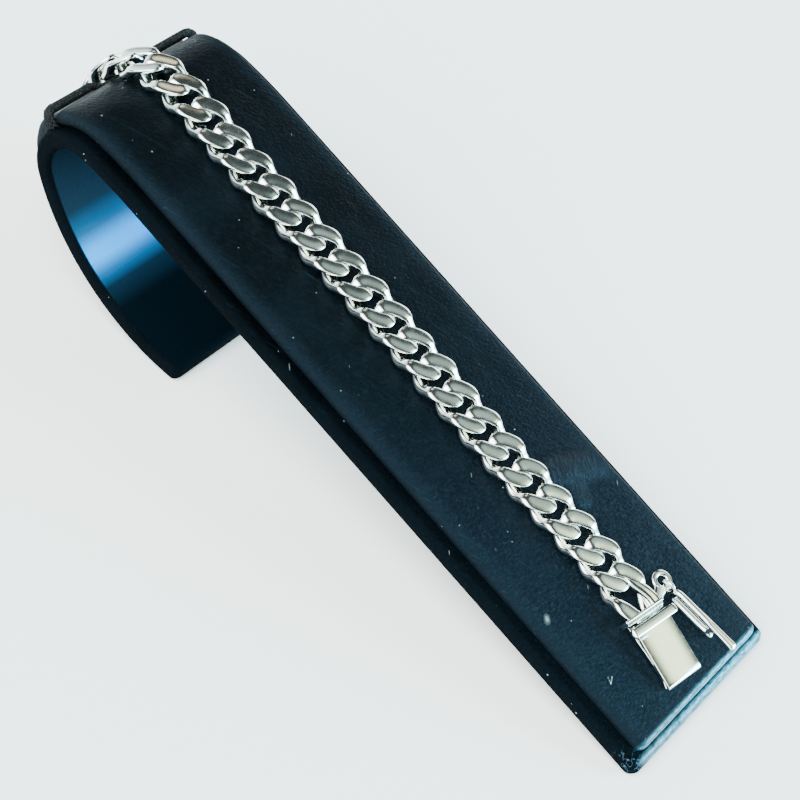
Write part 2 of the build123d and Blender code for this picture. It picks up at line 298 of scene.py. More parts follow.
class GeometrySheet(NodeSheet):
    """A geometry tree with named inputs."""

    def __init__(self, name: str, sizes: dict[str, Any], shaped: bool = True) -> None:
        """Starts the tree.

        Args:
            name: The tree's name.
            sizes: Its inputs by name; a whole number makes a count, any other a measure.
            shaped: Whether a shape goes through the tree; otherwise only a point comes out.
        """
        super().__init__(bpy.data.node_groups.new(name, "GeometryNodeTree"))
        face = self.tree.interface
        if shaped:
            face.new_socket("Geometry", in_out="INPUT", socket_type="NodeSocketGeometry")
            face.new_socket("Geometry", in_out="OUTPUT", socket_type="NodeSocketGeometry")
        else:
            face.new_socket("Point", in_out="OUTPUT", socket_type="NodeSocketVector")
        for label, size in sizes.items():
            kind = "NodeSocketInt" if isinstance(size, int) else "NodeSocketFloat"
            face.new_socket(label, in_out="INPUT", socket_type=kind)
        self.given = self.node("NodeGroupInput")

    def facing(self, out: Value, ahead: Value) -> Value:
        """Rotation that points Z out and X ahead."""
        axes = {"primary_axis": "Z", "secondary_axis": "X"}
        return self.node("FunctionNodeAxesToRotation", axes, {0: out, 1: ahead})[0]

    def turned(self, rotation: Value, angles: Value) -> Value:
        """A rotation turned further by angles in its own frame.

        Args:
            rotation: The rotation.
            angles: Angles about its own X, Y and Z.

        Returns:
            The new rotation.
        """
        spin = self.node("FunctionNodeEulerToRotation", None, {0: angles})[0]
        settings = {"rotation_space": "LOCAL"}
        return self.node("FunctionNodeRotateRotation", settings, {0: rotation, 1: spin})[0]

    def scattered(self, kind: str, low: Any, high: Any, result: int) -> Value:
        """Random numbers or vectors between two limits, from the tree's own seed.

        Args:
            kind: Type of what is drawn.
            low: Lower limit.
            high: Upper limit.
            result: Number of the output that has this type.

        Returns:
            What is drawn for each point.
        """
        first = 0 if kind == "FLOAT_VECTOR" else 2
        inputs = {first: low, first + 1: high, "Seed": self.given["Seed"]}
        return self.node("FunctionNodeRandomValue", {"data_type": kind}, inputs)[result]

    def stored(self, shape: Value, name: str, value: Value) -> Value:
        """Stores a number on each point of a shape.

        Args:
            shape: The shape.
            name: The attribute's name.
            value: The number.

        Returns:
            The shape that carries it.
        """
        settings = {"data_type": "FLOAT", "domain": "POINT"}
        inputs = {"Geometry": shape, "Name": name, "Value": value}
        return self.node("GeometryNodeStoreNamedAttribute", settings, inputs)[0]

    def copies(
        self,
        points: Value,
        shape: Value,
        turn: Value,
        finish: "Finish",
        size: Any = (1.0, 1.0, 1.0),
    ) -> bpy.types.NodeTree:
        """Sets a shape on points, makes the copies real, dresses them and ends the tree.

        Args:
            points: Where the copies go.
            shape: What is copied.
            turn: Rotation of each copy.
            finish: What the copies are made of.
            size: Scale of each copy along its axes.

        Returns:
            The whole tree.
        """
        inputs = {"Points": points, "Instance": shape, "Rotation": turn, "Scale": size}
        copies = self.node("GeometryNodeInstanceOnPoints", None, inputs)[0]
        real = self.node("GeometryNodeRealizeInstances", None, {0: copies})[0]
        soft = self.node("GeometryNodeSetShadeSmooth", None, {0: real})[0]
        dress = {"Geometry": soft, "Material": finish.material()}
        dressed = self.node("GeometryNodeSetMaterial", None, dress)[0]
        self.node("NodeGroupOutput", None, {0: dressed})
        return self.tree


class Finish:
    """A procedural material made once and then shared."""

    name = "finish"

    def material(self) -> bpy.types.Material:
        """Returns the finish's material, building it the first time.

        Returns:
            The material.
        """
        found = bpy.data.materials.get(self.name)
        if found:
            return found
        made = bpy.data.materials.new(self.name)
        made.use_nodes = True
        made.node_tree.nodes.clear()
        sheet = NodeSheet(made.node_tree)
        sheet.node("ShaderNodeOutputMaterial", None, {"Surface": self.surface(sheet)})
        return made

    def surface(self, sheet: NodeSheet) -> Value:
        """Builds the shader on a sheet and returns it."""
        raise NotImplementedError


@dataclass(frozen=True)
class PolishedSilver(Finish):
    """Bright rounded metal with satin, pressed facets and a little tarnish in the recesses."""

    name: str = "polished_silver"
    tone: Colour = (0.82, 0.86, 0.82)
    tarnish: Colour = (0.42, 0.40, 0.34)
    facet_tone: Colour = (0.78, 0.84, 0.79)
    polish: float = 0.11
    satin: float = 0.17
    cloud_scale: float = 900.0
    smear_scale: float = 260.0
    haze: float = 0.05
    film: float = 0.8
    brush: Triple = (400.0, 4200.0, 4200.0)
    brush_turn: Triple = (0.0, 0.25, 0.4)

    def surface(self, sheet: NodeSheet) -> Value:
        """Builds the shader on a sheet and returns it.

        Args:
            sheet: The material's sheet.

        Returns:
            The shader.
        """
        place = sheet.place()
        facet = sheet.attribute("facet")["Fac"]
        recess = sheet.attribute("recess")["Fac"]
        clouds = sheet.noise(place, self.cloud_scale, 4.0, 0.6)
        smears = sheet.noise(place, self.smear_scale, 2.0)
        lines = sheet.noise(sheet.stretched(place, self.brush, self.brush_turn), 1.0, 2.0)
        rough = facet * (self.satin - self.polish) + self.polish
        rough = rough + clouds.step(0.45, 0.75) * self.haze + smears.step(0.5, 0.8) * self.haze
        film = recess * clouds.step(0.3, 0.6) * self.film
        tone = sheet.blend(facet, self.tone, self.facet_tone)
        return sheet.principled(
            {
                "Base Color": sheet.blend(film, tone, self.tarnish),
                "Metallic": 1.0,
                "Roughness": rough,
                "Normal": sheet.bump(lines * facet * 0.6 + clouds * 0.4, 0.08, 0.0001),
            }
        )


@dataclass(frozen=True)
class Mark:
    """A small mark or a soft ridge, drawn as a stroke between two places of the unrolled strip."""

    start: tuple[float, float]
    end: tuple[float, float]
    width: float = 0.15
    strength: float = 0.7
    solid: bool = False

    def distance(self, run: Value, across: Value) -> Value:
        """Distance of a place from the stroke.

        Args:
            run: Run along the strip.
            across: Place across the strip.

        Returns:
            The distance, in millimetres.
        """
        length_run = self.end[0] - self.start[0]
        length_across = self.end[1] - self.start[1]
        length = math.hypot(length_run, length_across)
        from_run = run - self.start[0]
        from_across = across - self.start[1]
        share = (from_run * length_run + from_across * length_across) / length**2
        share = share.maths("MAXIMUM", 0.0).maths("MINIMUM", 1.0)
        aside_run = from_run - share * length_run
        aside_across = from_across - share * length_across
        return (aside_run * aside_run + aside_across * aside_across).maths("SQRT")

    def mask(self, run: Value, across: Value) -> Value:
        """How much the stroke covers a place."""
        return (1 - self.distance(run, across).step(self.width * 0.5, self.width)) * self.strength

    def swell(self, run: Value, across: Value) -> Value:
        """Soft share that is largest on the stroke."""
        return (1 - self.distance(run, across).step(0.0, self.width)) * self.strength


class Texture(Enum):
    """Noises on the unrolled strip: scale along each axis, turn, detail and roughness."""

    FINE_PORES = ((4.5, 4.5, 4.5), 0.0, 3.0, 0.6)
    FOLDS = ((0.30, 0.75, 1.0), 0.6, 4.0, 0.6)
    CROSS_FOLDS = ((0.9, 0.35, 1.0), -0.25, 3.0, 0.6)
    SWELLS = ((0.10, 0.10, 0.10), 0.0, 2.0, 0.5)
    DENTS = ((0.55, 0.55, 0.55), 0.0, 3.0, 0.6)
    PUCKERS = ((0.45, 1.5, 1.0), -0.5, 4.0, 0.65)
    CLOUDS = ((0.06, 0.06, 0.06), 0.0, 3.0, 0.5)
    MOTTLE = ((0.7, 1.3, 1.0), 0.6, 4.0, 0.7)
    GRAIN = ((2.7, 0.95, 1.0), 0.12, 3.0, 0.7)
    STREAKS = ((2.2, 0.6, 1.0), 0.0, 4.0, 0.7)
    # Thin lines that carry the painted glints on the crumpled corner.
    GLINT_LINES = ((0.40, 0.40, 0.40), 0.0, 2.0, 0.6)
    SCRATCHES = ((0.06, 3.6, 1.0), 0.35, 2.0, 0.5)
    SMUDGES = ((3.0, 3.0, 3.0), 0.0, 2.0, 0.5)
    BROKEN = ((2.4, 2.4, 2.4), 0.0, 3.0, 0.7)

    def on(self, sheet: NodeSheet, place: Value) -> Value:
        """The noise around 0.5 at a place."""
        scale, turn, detail, rough = self.value
        return sheet.noise(sheet.stretched(place, scale, (0.0, 0.0, turn)), 1.0, detail, rough)

    def crease(self, sheet: NodeSheet, place: Value) -> Value:
        """Sharp valleys where the noise passes its middle."""
        return abs(self.on(sheet, place) - 0.5)


@dataclass(frozen=True)
class Leatherette(Finish):
    """Soft coated cloth: fine grain, creases near the edges, lint, faint scratches, and painted
    light: lighter towards the front, painted highlights on the front end, the crumpled corner and
    the ridges, and a painted blue sheen on the lining.
    """

    name: str = "leatherette"
    tone: Colour = (0.0005, 0.0009, 0.0012)
    # Painted light: lighter and bluer towards the front end, where more light falls.
    front_painted_light: Colour = (0.0010, 0.0028, 0.0048)
    # Lighter blue of the grain and the scratches; on the ridges' puckers it is a painted
    # highlight.
    grain_and_highlight: Colour = (0.009, 0.020, 0.032)
    worn: Colour = (0.003, 0.006, 0.009)
    # Painted highlight: bright cyan on the front end.
    painted_highlight_tone: Colour = (0.05, 0.32, 0.46)
    # Painted highlight: silvery-blue glints on the crumpled corner.
    crumple_highlight: Colour = (0.10, 0.20, 0.30)
    lint: Colour = (0.42, 0.52, 0.55)
    sheen: Colour = (0.30, 0.60, 0.92)
    gloss: float = 0.115
    rough: float = 0.36
    # Length of the front end that gets a clear coat and the painted highlight.
    polished_until: float = 2.6
    polish_fade: float = 1.2
    # Runs over which the painted front light fades out; the same share also adds creases and grain
    # near the front.
    front: tuple[float, float] = (5.0, 125.0)
    # Across the strip the painted highlight grows from the near side to the far side.
    painted_highlight_across: tuple[float, float] = (-26.0, 16.0)
    lint_share: float = 0.5
    lining_run: float = 300.0
    grain_height: float = 0.10
    pore_height: float = 0.060
    crease_height: float = 0.65
    swell_height: float = 0.45
    crumple_height: float = 2.6
    marks: tuple[Mark, ...] = ()
    # Soft folds in relief; their puckers also get a painted highlight.
    ridges: tuple[Mark, ...] = ()
    # Colour stops along the run for the inner face; their bright blue band is a painted highlight.
    lining: tuple[tuple[float, Colour], ...] = ()

    def surface(self, sheet: NodeSheet) -> Value:
        """Builds the shader on a sheet and returns it.

        Args:
            sheet: The material's sheet.

        Returns:
            The shader.
        """
        place = sheet.attribute("surface")["Vector"]
        edge = sheet.attribute("edge")["Fac"]
        crumple = sheet.attribute("crumple")["Fac"]
        parts = sheet.parts(place)
        run, across = parts[0], parts[1]
        front = 1 - run.step(*self.front)
        polished = run.step(self.polished_until - self.polish_fade, self.polished_until)
        end = (1 - polished) * (1 - crumple)
        puckers = Texture.PUCKERS.on(sheet, place)
        clouds = Texture.CLOUDS.on(sheet, place)
        mottle = Texture.MOTTLE.on(sheet, place)
        streaks = Texture.STREAKS.on(sheet, place)
        bulge = sum(ridge.swell(run, across) for ridge in self.ridges)

        height = self.relief(sheet, place, edge, front)
        height = height + crumple * Texture.DENTS.crease(sheet, place) * self.crumple_height
        height = height + bulge * (0.35 + puckers * 1.5)

        rough = self.rough + (clouds - 0.5) * 0.16 + edge * (1 - end) * 0.24
        rough = rough + Texture.SMUDGES.on(sheet, place) * 0.06

        grain = Texture.GRAIN.on(sheet, place).step(0.46, 0.68) * front * 0.55
        # Painted highlight on the front end, in streaks, weaker on the near side.
        painted_highlight = end * (streaks.step(0.36, 0.62) * 0.75 + 0.25)
        painted_highlight = painted_highlight * (across.step(*self.painted_highlight_across) * 0.6 + 0.4)
        glint_lines = 1 - Texture.GLINT_LINES.crease(sheet, place).step(0.0, 0.022)
        scratches = Texture.SCRATCHES.on(sheet, place).step(0.66, 0.76) * 0.6
        # Painted light: the tone turns lighter and bluer towards the front end.
        tone = sheet.blend(front, self.tone, self.front_painted_light)
        for share, colour in (
            (mottle.step(0.45, 0.75) * 0.5, self.worn),
            (grain, self.grain_and_highlight),
            # Painted highlight: lighter blue streaks on the puckers of the soft ridges.
            (bulge * puckers.step(0.46, 0.62) * 0.9, self.grain_and_highlight),
            (clouds.step(0.4, 0.75) * 0.3 + edge * edge * 0.5, self.worn),
            # Painted highlight on the front end.
            (painted_highlight, self.painted_highlight_tone),
            # Painted highlight: glints along thin lines of the crumpled corner.
            (crumple * glint_lines * mottle.step(0.35, 0.65) * 0.8, self.crumple_highlight),
            (scratches, self.grain_and_highlight),
        ):
            tone = sheet.blend(share, tone, colour)

        dust = self.dust(sheet, place, run, across)
        if self.lining:
            inside = sheet.attribute("lining")["Fac"]
            stops = {"stops": self.lining}
            # Painted highlight: a blue sheen on the lining, laid along the run by the stops.
            satin = sheet.node("ShaderNodeValToRGB", stops, {0: run / self.lining_run})[0]
            tone = sheet.blend(inside, tone, satin)
            dust = dust * (1 - inside)
            rough = rough + inside * 0.05
        return sheet.principled(
            {
                "Base Color": sheet.blend(dust, tone, self.lint),
                "Roughness": rough,
                "Normal": sheet.bump(height, 1.0, MM),
                "Specular IOR Level": self.gloss,
                "Specular Tint": (*self.sheen, 1.0),
                "Coat Weight": end * (streaks.step(0.3, 0.6) * 0.5 + 0.15),
                "Coat Roughness": 0.2,
            }
        )

    def relief(self, sheet: NodeSheet, place: Value, edge: Value, front: Value) -> Value:
        """Height of grain, wrinkles and soft swells, in millimetres.

        Args:
            sheet: The material's sheet.
            place: Place on the unrolled strip.
            edge: 1 at the edges and 0 inside.
            front: 1 at the front end and 0 behind.

        Returns:
            The height.
        """
        cells = {"Vector": place, "Scale": 1.7}
        grain = sheet.node("ShaderNodeTexVoronoi", {"feature": "SMOOTH_F1"}, cells)["Distance"]
        folds = Texture.FOLDS.crease(sheet, place)
        cross = Texture.CROSS_FOLDS.crease(sheet, place)
        creases = folds * (0.25 + edge * 0.6 + front * 0.35) + cross * (edge * 0.7 + front * 0.15)
        fine = Texture.FINE_PORES.on(sheet, place) * self.pore_height
        height = grain * self.grain_height + fine + creases * self.crease_height
        return height + Texture.SWELLS.on(sheet, place) * self.swell_height

    def flecks(
        self, sheet: NodeSheet, place: Value, scale: float, part: int, rare: float, size: float
    ) -> Value:
        """Scattered specks.

        Args:
            sheet: The shader's sheet.
            place: Where they are looked for.
            scale: How many there are to a millimetre.
            part: Which part of a cell's colour sets the size of its speck.
            rare: Share of the cells that have none.
            size: The largest speck's radius, as a share of its cell.

        Returns:
            1 on a speck and 0 beside it.
        """
        cells = sheet.node("ShaderNodeTexVoronoi", None, {"Vector": place, "Scale": scale})
        chance = sheet.node("ShaderNodeSeparateColor", None, {0: cells["Color"]})[part]
        return cells["Distance"] < chance.step(rare, 1.0) * size * self.lint_share

    def dust(self, sheet: NodeSheet, place: Value, run: Value, across: Value) -> Value:
        """Share of lint, short fibres and drawn marks at a place.

        Args:
            sheet: The material's sheet.
            place: Place on the unrolled strip.
            run: Run along the strip.
            across: Place across the strip.

        Returns:
            The share, from 0 to 1.
        """
        turned = sheet.stretched(place, (0.9, 0.13, 0.5), (0.0, 0.0, 0.9))
        dust = self.flecks(sheet, place, 0.42, 0, 0.5, 0.08) * 0.45
        dust = dust + self.flecks(sheet, turned, 1.0, 1, 0.85, 0.10) * 0.2
        broken = Texture.BROKEN.on(sheet, place).step(0.38, 0.60)
        for mark in self.marks:
            dust = dust + mark.mask(run, across) * (1 if mark.solid else broken)
        return dust.maths("MINIMUM", 1.0)


@dataclass(frozen=True)
class BraidedElastic(Finish):
    """Black yarn with a fine sheen."""

    name: str = "braided_elastic"
    tone: Colour = (0.003, 0.0035, 0.004)
    thread: Colour = (0.10, 0.12, 0.13)
    fibre: Triple = (9000.0, 2500.0, 9000.0)
    tuft_scale: float = 2600.0

    def surface(self, sheet: NodeSheet) -> Value:
        """Builds the shader on a sheet and returns it.

        Args:
            sheet: The material's sheet.

        Returns:
            The shader.
        """
        place = sheet.place()
        fibres = sheet.noise(sheet.stretched(place, self.fibre), 1.0, 2.0)
        tufts = sheet.noise(place, self.tuft_scale, 2.0)
        share = fibres.step(0.5, 0.8) * 0.6 + tufts.step(0.6, 0.8) * 0.4
        return sheet.principled(
            {
                "Base Color": sheet.blend(share, self.tone, self.thread),
                "Roughness": 0.7,
                "Specular IOR Level": 0.08,
                "Normal": sheet.bump(fibres, 0.5, 0.0001),
            }
        )


@dataclass(frozen=True)
class PalePaper(Finish):
    """The studio's plain floor."""

    name: str = "pale_paper"
    tone: Colour = (0.95, 0.95, 0.95)
    mottled: Colour = (0.9405, 0.9405, 0.9405)

    def surface(self, sheet: NodeSheet) -> Value:
        """Builds the shader on a sheet and returns it."""
        tone = sheet.blend(sheet.noise(sheet.place(), 3.0), self.tone, self.mottled)
        return sheet.principled({"Base Color": tone, "Roughness": 0.9})


@dataclass(frozen=True)
class Stretch:
    """One stretch of a side path: straight with a length, or an arc with a radius and a turn."""

    length: float = 0.0
    radius: float = 0.0
    turn: float = 0.0

    def run(self, height: float) -> float:
        """Length of the stretch at a height above the strip's face."""
        return self.length + math.radians(self.turn) * (self.radius + height)


@dataclass(frozen=True)
class Ramp:
    """Side path of the stand's strip, from its front edge to its foot."""

    climb: float = 15.0
    length: float = 152.4
    front_height: float = 3.7
    front_x: float = 91.185
    shoulder: Stretch = Stretch(radius=95.0, turn=8.3)
    crest: Stretch = Stretch(radius=13.0, turn=121.0)
    curl: Stretch = Stretch(radius=46.6815, turn=65.7)
    foot: Stretch = Stretch(length=3.0)

    def stretches(self) -> tuple[Stretch, ...]:
        """All stretches in order."""
        return (Stretch(length=self.length), self.shoulder, self.crest, self.curl, self.foot)

    def crest_to(self, climb: float) -> Stretch:
        """The crest's arc down to a climb angle."""
        return Stretch(radius=self.crest.radius, turn=self.climb - self.shoulder.turn - climb)

    def run_to(self, climb: float) -> float:
        """Run along the face to the crest's point with a climb angle."""
        return self.length + self.shoulder.run(0) + self.crest_to(climb).run(0)

    def whole_run(self) -> float:
        """Run along the face from end to end."""
        return sum(stretch.run(0) for stretch in self.stretches())

    def station(
        self, run: float, stretches: Sequence[Stretch] | None = None, height: float = 0.0
    ) -> tuple[Vector, float]:
        """Follows a path at a height above the face.

        Args:
            run: Distance from the front edge.
            stretches: The stretches, or None for the strip's own.
            height: Height at which the path is followed.

        Returns:
            The point reached and the climb angle there.
        """
        climb = self.climb
        x = self.front_x + height * sin_of(climb)
        z = self.front_height + height * cos_of(climb)
        left = run
        for stretch in stretches or self.stretches():
            whole = stretch.run(height)
            step = min(left, whole)
            turn = stretch.turn * step / whole
            chord = 2 * (stretch.radius + height) * sin_of(turn / 2) if turn else step
            x -= chord * cos_of(climb - turn / 2)
            z += chord * sin_of(climb - turn / 2)
            climb -= turn
            left -= step
        return Vector((x, 0.0, z)), climb

    def bend(self, run: float, across: float, height: float) -> Vector:
        """Takes a point of the flat, unrolled strip to its place on the bent strip."""
        point, climb = self.station(run)
        return point + Vector((sin_of(climb) * height, across, cos_of(climb) * height))


RAMP = Ramp()


def new_object(name: str, data: bpy.types.ID) -> bpy.types.Object:
    """Adds an object to the scene.

    Args:
        name: The object's name.
        data: Its mesh, curve or camera.

    Returns:
        The object.
    """
    made = bpy.data.objects.new(name, data)
    bpy.context.scene.collection.objects.link(made)
    return made


def new_piece(
    name: str,
    corners: Sequence[Vector],
    faces: Sequence[Sequence[int]],
    finish: Finish,
    values: dict[str, Sequence[Any]] | None = None,
) -> bpy.types.Object:
    """Makes a smooth piece from corners.

    Args:
        name: The piece's name.
        corners: Points in millimetres.
        faces: Corner numbers of each face.
        finish: What it is made of.
        values: Its own attributes: numbers or vectors, one for each point.

    Returns:
        The object, with its place in its mesh.
    """
    mesh = bpy.data.meshes.new(name)
    mesh.from_pydata([tuple(corner * MM) for corner in corners], [], faces)
    for label, parts in (values or {}).items():
        if isinstance(parts[0], float):
            layer = mesh.attributes.new(label, "FLOAT", "POINT")
            layer.data.foreach_set("value", parts)
        else:
            layer = mesh.attributes.new(label, "FLOAT_VECTOR", "POINT")
            layer.data.foreach_set("vector", [number for part in parts for number in part])
    mesh.polygons.foreach_set("use_smooth", [True] * len(mesh.polygons))
    mesh.materials.append(finish.material())
    mesh.update()
    return new_object(name, mesh)


def tidy_mesh(piece: bpy.types.Object) -> bpy.types.Object:
    """Turns all faces of a piece outwards.

    Args:
        piece: The piece, whose mesh is changed.

    Returns:
        The same piece.
    """
    work = bmesh.new()
    work.from_mesh(piece.data)
    bmesh.ops.recalc_face_normals(work, faces=work.faces)
    work.to_mesh(piece.data)
    work.free()
    return piece


class Skin:
    """Corners of a skin, ring after ring, with values for each corner."""

    def __init__(self) -> None:
        """Starts with no corners."""
        self.corners: list[Vector] = []
        self.values: dict[str, list[Any]] = {}

    def add(self, corner: Vector, **values: Any) -> None:
        """Adds a corner and its values.

        Args:
            corner: The corner, in millimetres.
            values: Its values by name.
        """
        self.corners.append(corner)
        for label, value in values.items():
            self.values.setdefault(label, []).append(value)

    def piece(
        self, name: str, rings: int, finish: Finish, closed: bool = False
    ) -> bpy.types.Object:
        """Makes a piece of the corners.

        Args:
            name: The piece's name.
            rings: How many rings the corners make.
            finish: What it is made of.
            closed: Whether the last ring joins the first; otherwise both ends get a face.

        Returns:
            The piece.
        """
        count = len(self.corners) // rings
        faces: list[tuple[int, ...]] = []
        for ring in range(rings if closed else rings - 1):
            here, after = ring * count, (ring + 1) % rings * count
            for corner in range(count):
                beside = (corner + 1) % count
                faces.append((here + corner, here + beside, after + beside, after + corner))
        if not closed:
            faces.append(tuple(reversed(range(count))))
            faces.append(tuple(range((rings - 1) * count, rings * count)))
        return tidy_mesh(new_piece(name, self.corners, faces, finish, self.values))


def joined(name: str, pieces: Sequence[bpy.types.Object], seat: Matrix) -> bpy.types.Object:
    """Joins pieces into one mesh and moves it to its place.

    Args:
        name: The new piece's name.
        pieces: Objects that go into it and are removed.
        seat: Takes the pieces' own frame, in millimetres, to its place.

    Returns:
        The new object, with its place in its mesh.
    """
    first = pieces[0]
    with bpy.context.temp_override(active_object=first, selected_editable_objects=list(pieces)):
        bpy.ops.object.join()
    first.name = name
    first.data.name = name
    shift = Matrix.Translation(seat.translation * MM)
    first.data.transform(shift @ seat.to_3x3().to_4x4())
    first.data.update()
    return first


def grown(
    name: str, points: Sequence[Vector], tree: bpy.types.NodeTree, sizes: dict[str, Any]
) -> bpy.types.Object:
    """Lets a geometry tree build a piece along a line.

    Args:
        name: The piece's name.
        points: Points of the line, in millimetres.
        tree: The geometry tree.
        sizes: Its named inputs.

    Returns:
        The piece as a plain mesh, in metres.
    """
    curve = bpy.data.curves.new(name, "CURVE")
    curve.dimensions = "3D"
    spline = curve.splines.new("POLY")
    spline.points.add(len(points) - 1)
    for knot, point in zip(spline.points, points):
        knot.co = (*point, 1.0)
    line = new_object(name, curve)
    modifier = line.modifiers.new(tree.name, "NODES")
    modifier.node_group = tree
    for item in tree.interface.items_tree:
        if item.in_out == "INPUT" and item.name in sizes:
            modifier[item.identifier] = sizes[item.name]
    evaluated = line.evaluated_get(bpy.context.evaluated_depsgraph_get())
    mesh = bpy.data.meshes.new_from_object(evaluated)
    bpy.data.objects.remove(line)
    mesh.name = name
    mesh.transform(Matrix.Scale(MM, 4))
    return new_object(name, mesh)


def settle(piece: bpy.types.Object, body: str, slot: str, *nodes: str) -> None:
    """Lets a piece ride on its body and stand for its nodes, and reports it.

    Args:
        piece: The piece.
        body: The body that it rides on.
        slot: Not used.
        nodes: The solids that it stands for.
    """
    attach(piece, body)
    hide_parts(*nodes)
    log.info("%s: %d faces, rides on %s", piece.name, len(piece.data.polygons), body)


def straight(start: Vector, end: Vector, steps: int) -> list[Vector]:
    """Evenly spaced points from start to end."""
    return [start.lerp(end, step / steps) for step in range(steps + 1)]


def sweep(
    name: str,
    path: Sequence[Vector],
    section: Section | Callable[[float], Section],
    finish: Finish,
    up: Vector = Vector((0, 0, 1)),
    closed: bool = False,
) -> bpy.types.Object:
    """Sweeps a section along a path.

    Args:
        name: The piece's name.
        path: Points of the path, in millimetres.
        section: The section's points, sideways and up, or what gives them for a share of the path.
        finish: What it is made of.
        up: The section's upward direction where the path allows it.
        closed: Whether the path closes on itself.

    Returns:
        The piece.
    """
    skin = Skin()
    last = len(path) - 1
    for index, point in enumerate(path):
        before = path[index - 1] if index or closed else point
        after = path[(index + 1) % len(path)] if index < last or closed else point
        heading = (after - before).normalized()
        side = heading.cross(up).normalized()
        rise = side.cross(heading)
        points = section(index / last) if callable(section) else section
        for sideways, upward in points:
            skin.add(point + side * sideways + rise * upward)
    return skin.piece(name, len(path), finish, closed)


def oval(width: float, height: float, count: int = 16, square: float = 2.0) -> Section:
    """Points of an ellipse, or of a squarer oval when square is over 2.

    Args:
        width: Whole width.
        height: Whole height.
        count: How many points it has.
        square: 2 for an ellipse, more for squarer ends.

    Returns:
        Its points, sideways and up.
    """
    points = []
    for step in range(count):
        angle = 360 * (step + 0.5) / count
        c, s = cos_of(angle), sin_of(angle)
        sideways = math.copysign(abs(c) ** (2 / square), c) * width / 2
        upward = math.copysign(abs(s) ** (2 / square), s) * height / 2
        points.append((sideways, upward))
    return points


def rounded_box(near: float, far: float, height: float, radius: float, steps: int) -> Section:
    """Section with rounded corners.

    Args:
        near: Reach on its near side.
        far: Reach on its far side.
        height: Whole height.
        radius: Radius of the corners.
        steps: Steps around each corner.

    Returns:
        Its points, sideways and up.
    """
    points = []
    for cx, cy, first in ((1, 1, 0), (-1, 1, 90), (-1, -1, 180), (1, -1, 270)):
        reach = far if cx > 0 else near
        for step in range(steps + 1):
            angle = first + 90 * step / steps
            sideways = cx * (reach - radius) + radius * cos_of(angle)
            points.append((sideways, cy * (height / 2 - radius) + radius * sin_of(angle)))
    return points


def wave_at(run: float, across: float, scale: Triple) -> float:
    """Smooth random wave over a strip; the scale's last part picks the wave."""
    return noise.noise(Vector((run * scale[0], across * scale[1], scale[2])))


def arc_back(radius: float, angle: float) -> float:
    """How far a quarter arc stands back from its corner at an angle."""
    return radius * (1 - cos_of(angle))


@dataclass(frozen=True)
class Block:
    """A block between two corners, with all its edges rounded."""

    low: Triple
    high: Triple
    rounding: float
    segments: int = 3
    profile: float = 0.6

    def build(self, name: str, finish: Finish, lift: float = 0.0) -> bpy.types.Object:
        """Makes the block, raised by a lift.

        Args:
            name: The piece's name.
            finish: What it is made of.
            lift: How far it is raised.

        Returns:
            The piece.
        """
        piece = new_piece(name, [], [], finish)
        rise = Vector((0.0, 0.0, lift))
        low, high = Vector(self.low) + rise, Vector(self.high) + rise
        work = bmesh.new()
        bmesh.ops.create_cube(work, size=1.0)
        bmesh.ops.scale(work, vec=high - low, verts=work.verts)
        bmesh.ops.translate(work, vec=(low + high) / 2, verts=work.verts)
        bmesh.ops.bevel(
            work,
            geom=list(work.edges),
            offset=self.rounding,
            segments=self.segments,
            profile=self.profile,
            affect="EDGES",
        )
        bmesh.ops.scale(work, vec=(MM, MM, MM), verts=work.verts)
        for face in work.faces:
            face.smooth = True
        work.to_mesh(piece.data)
        work.free()
        return piece


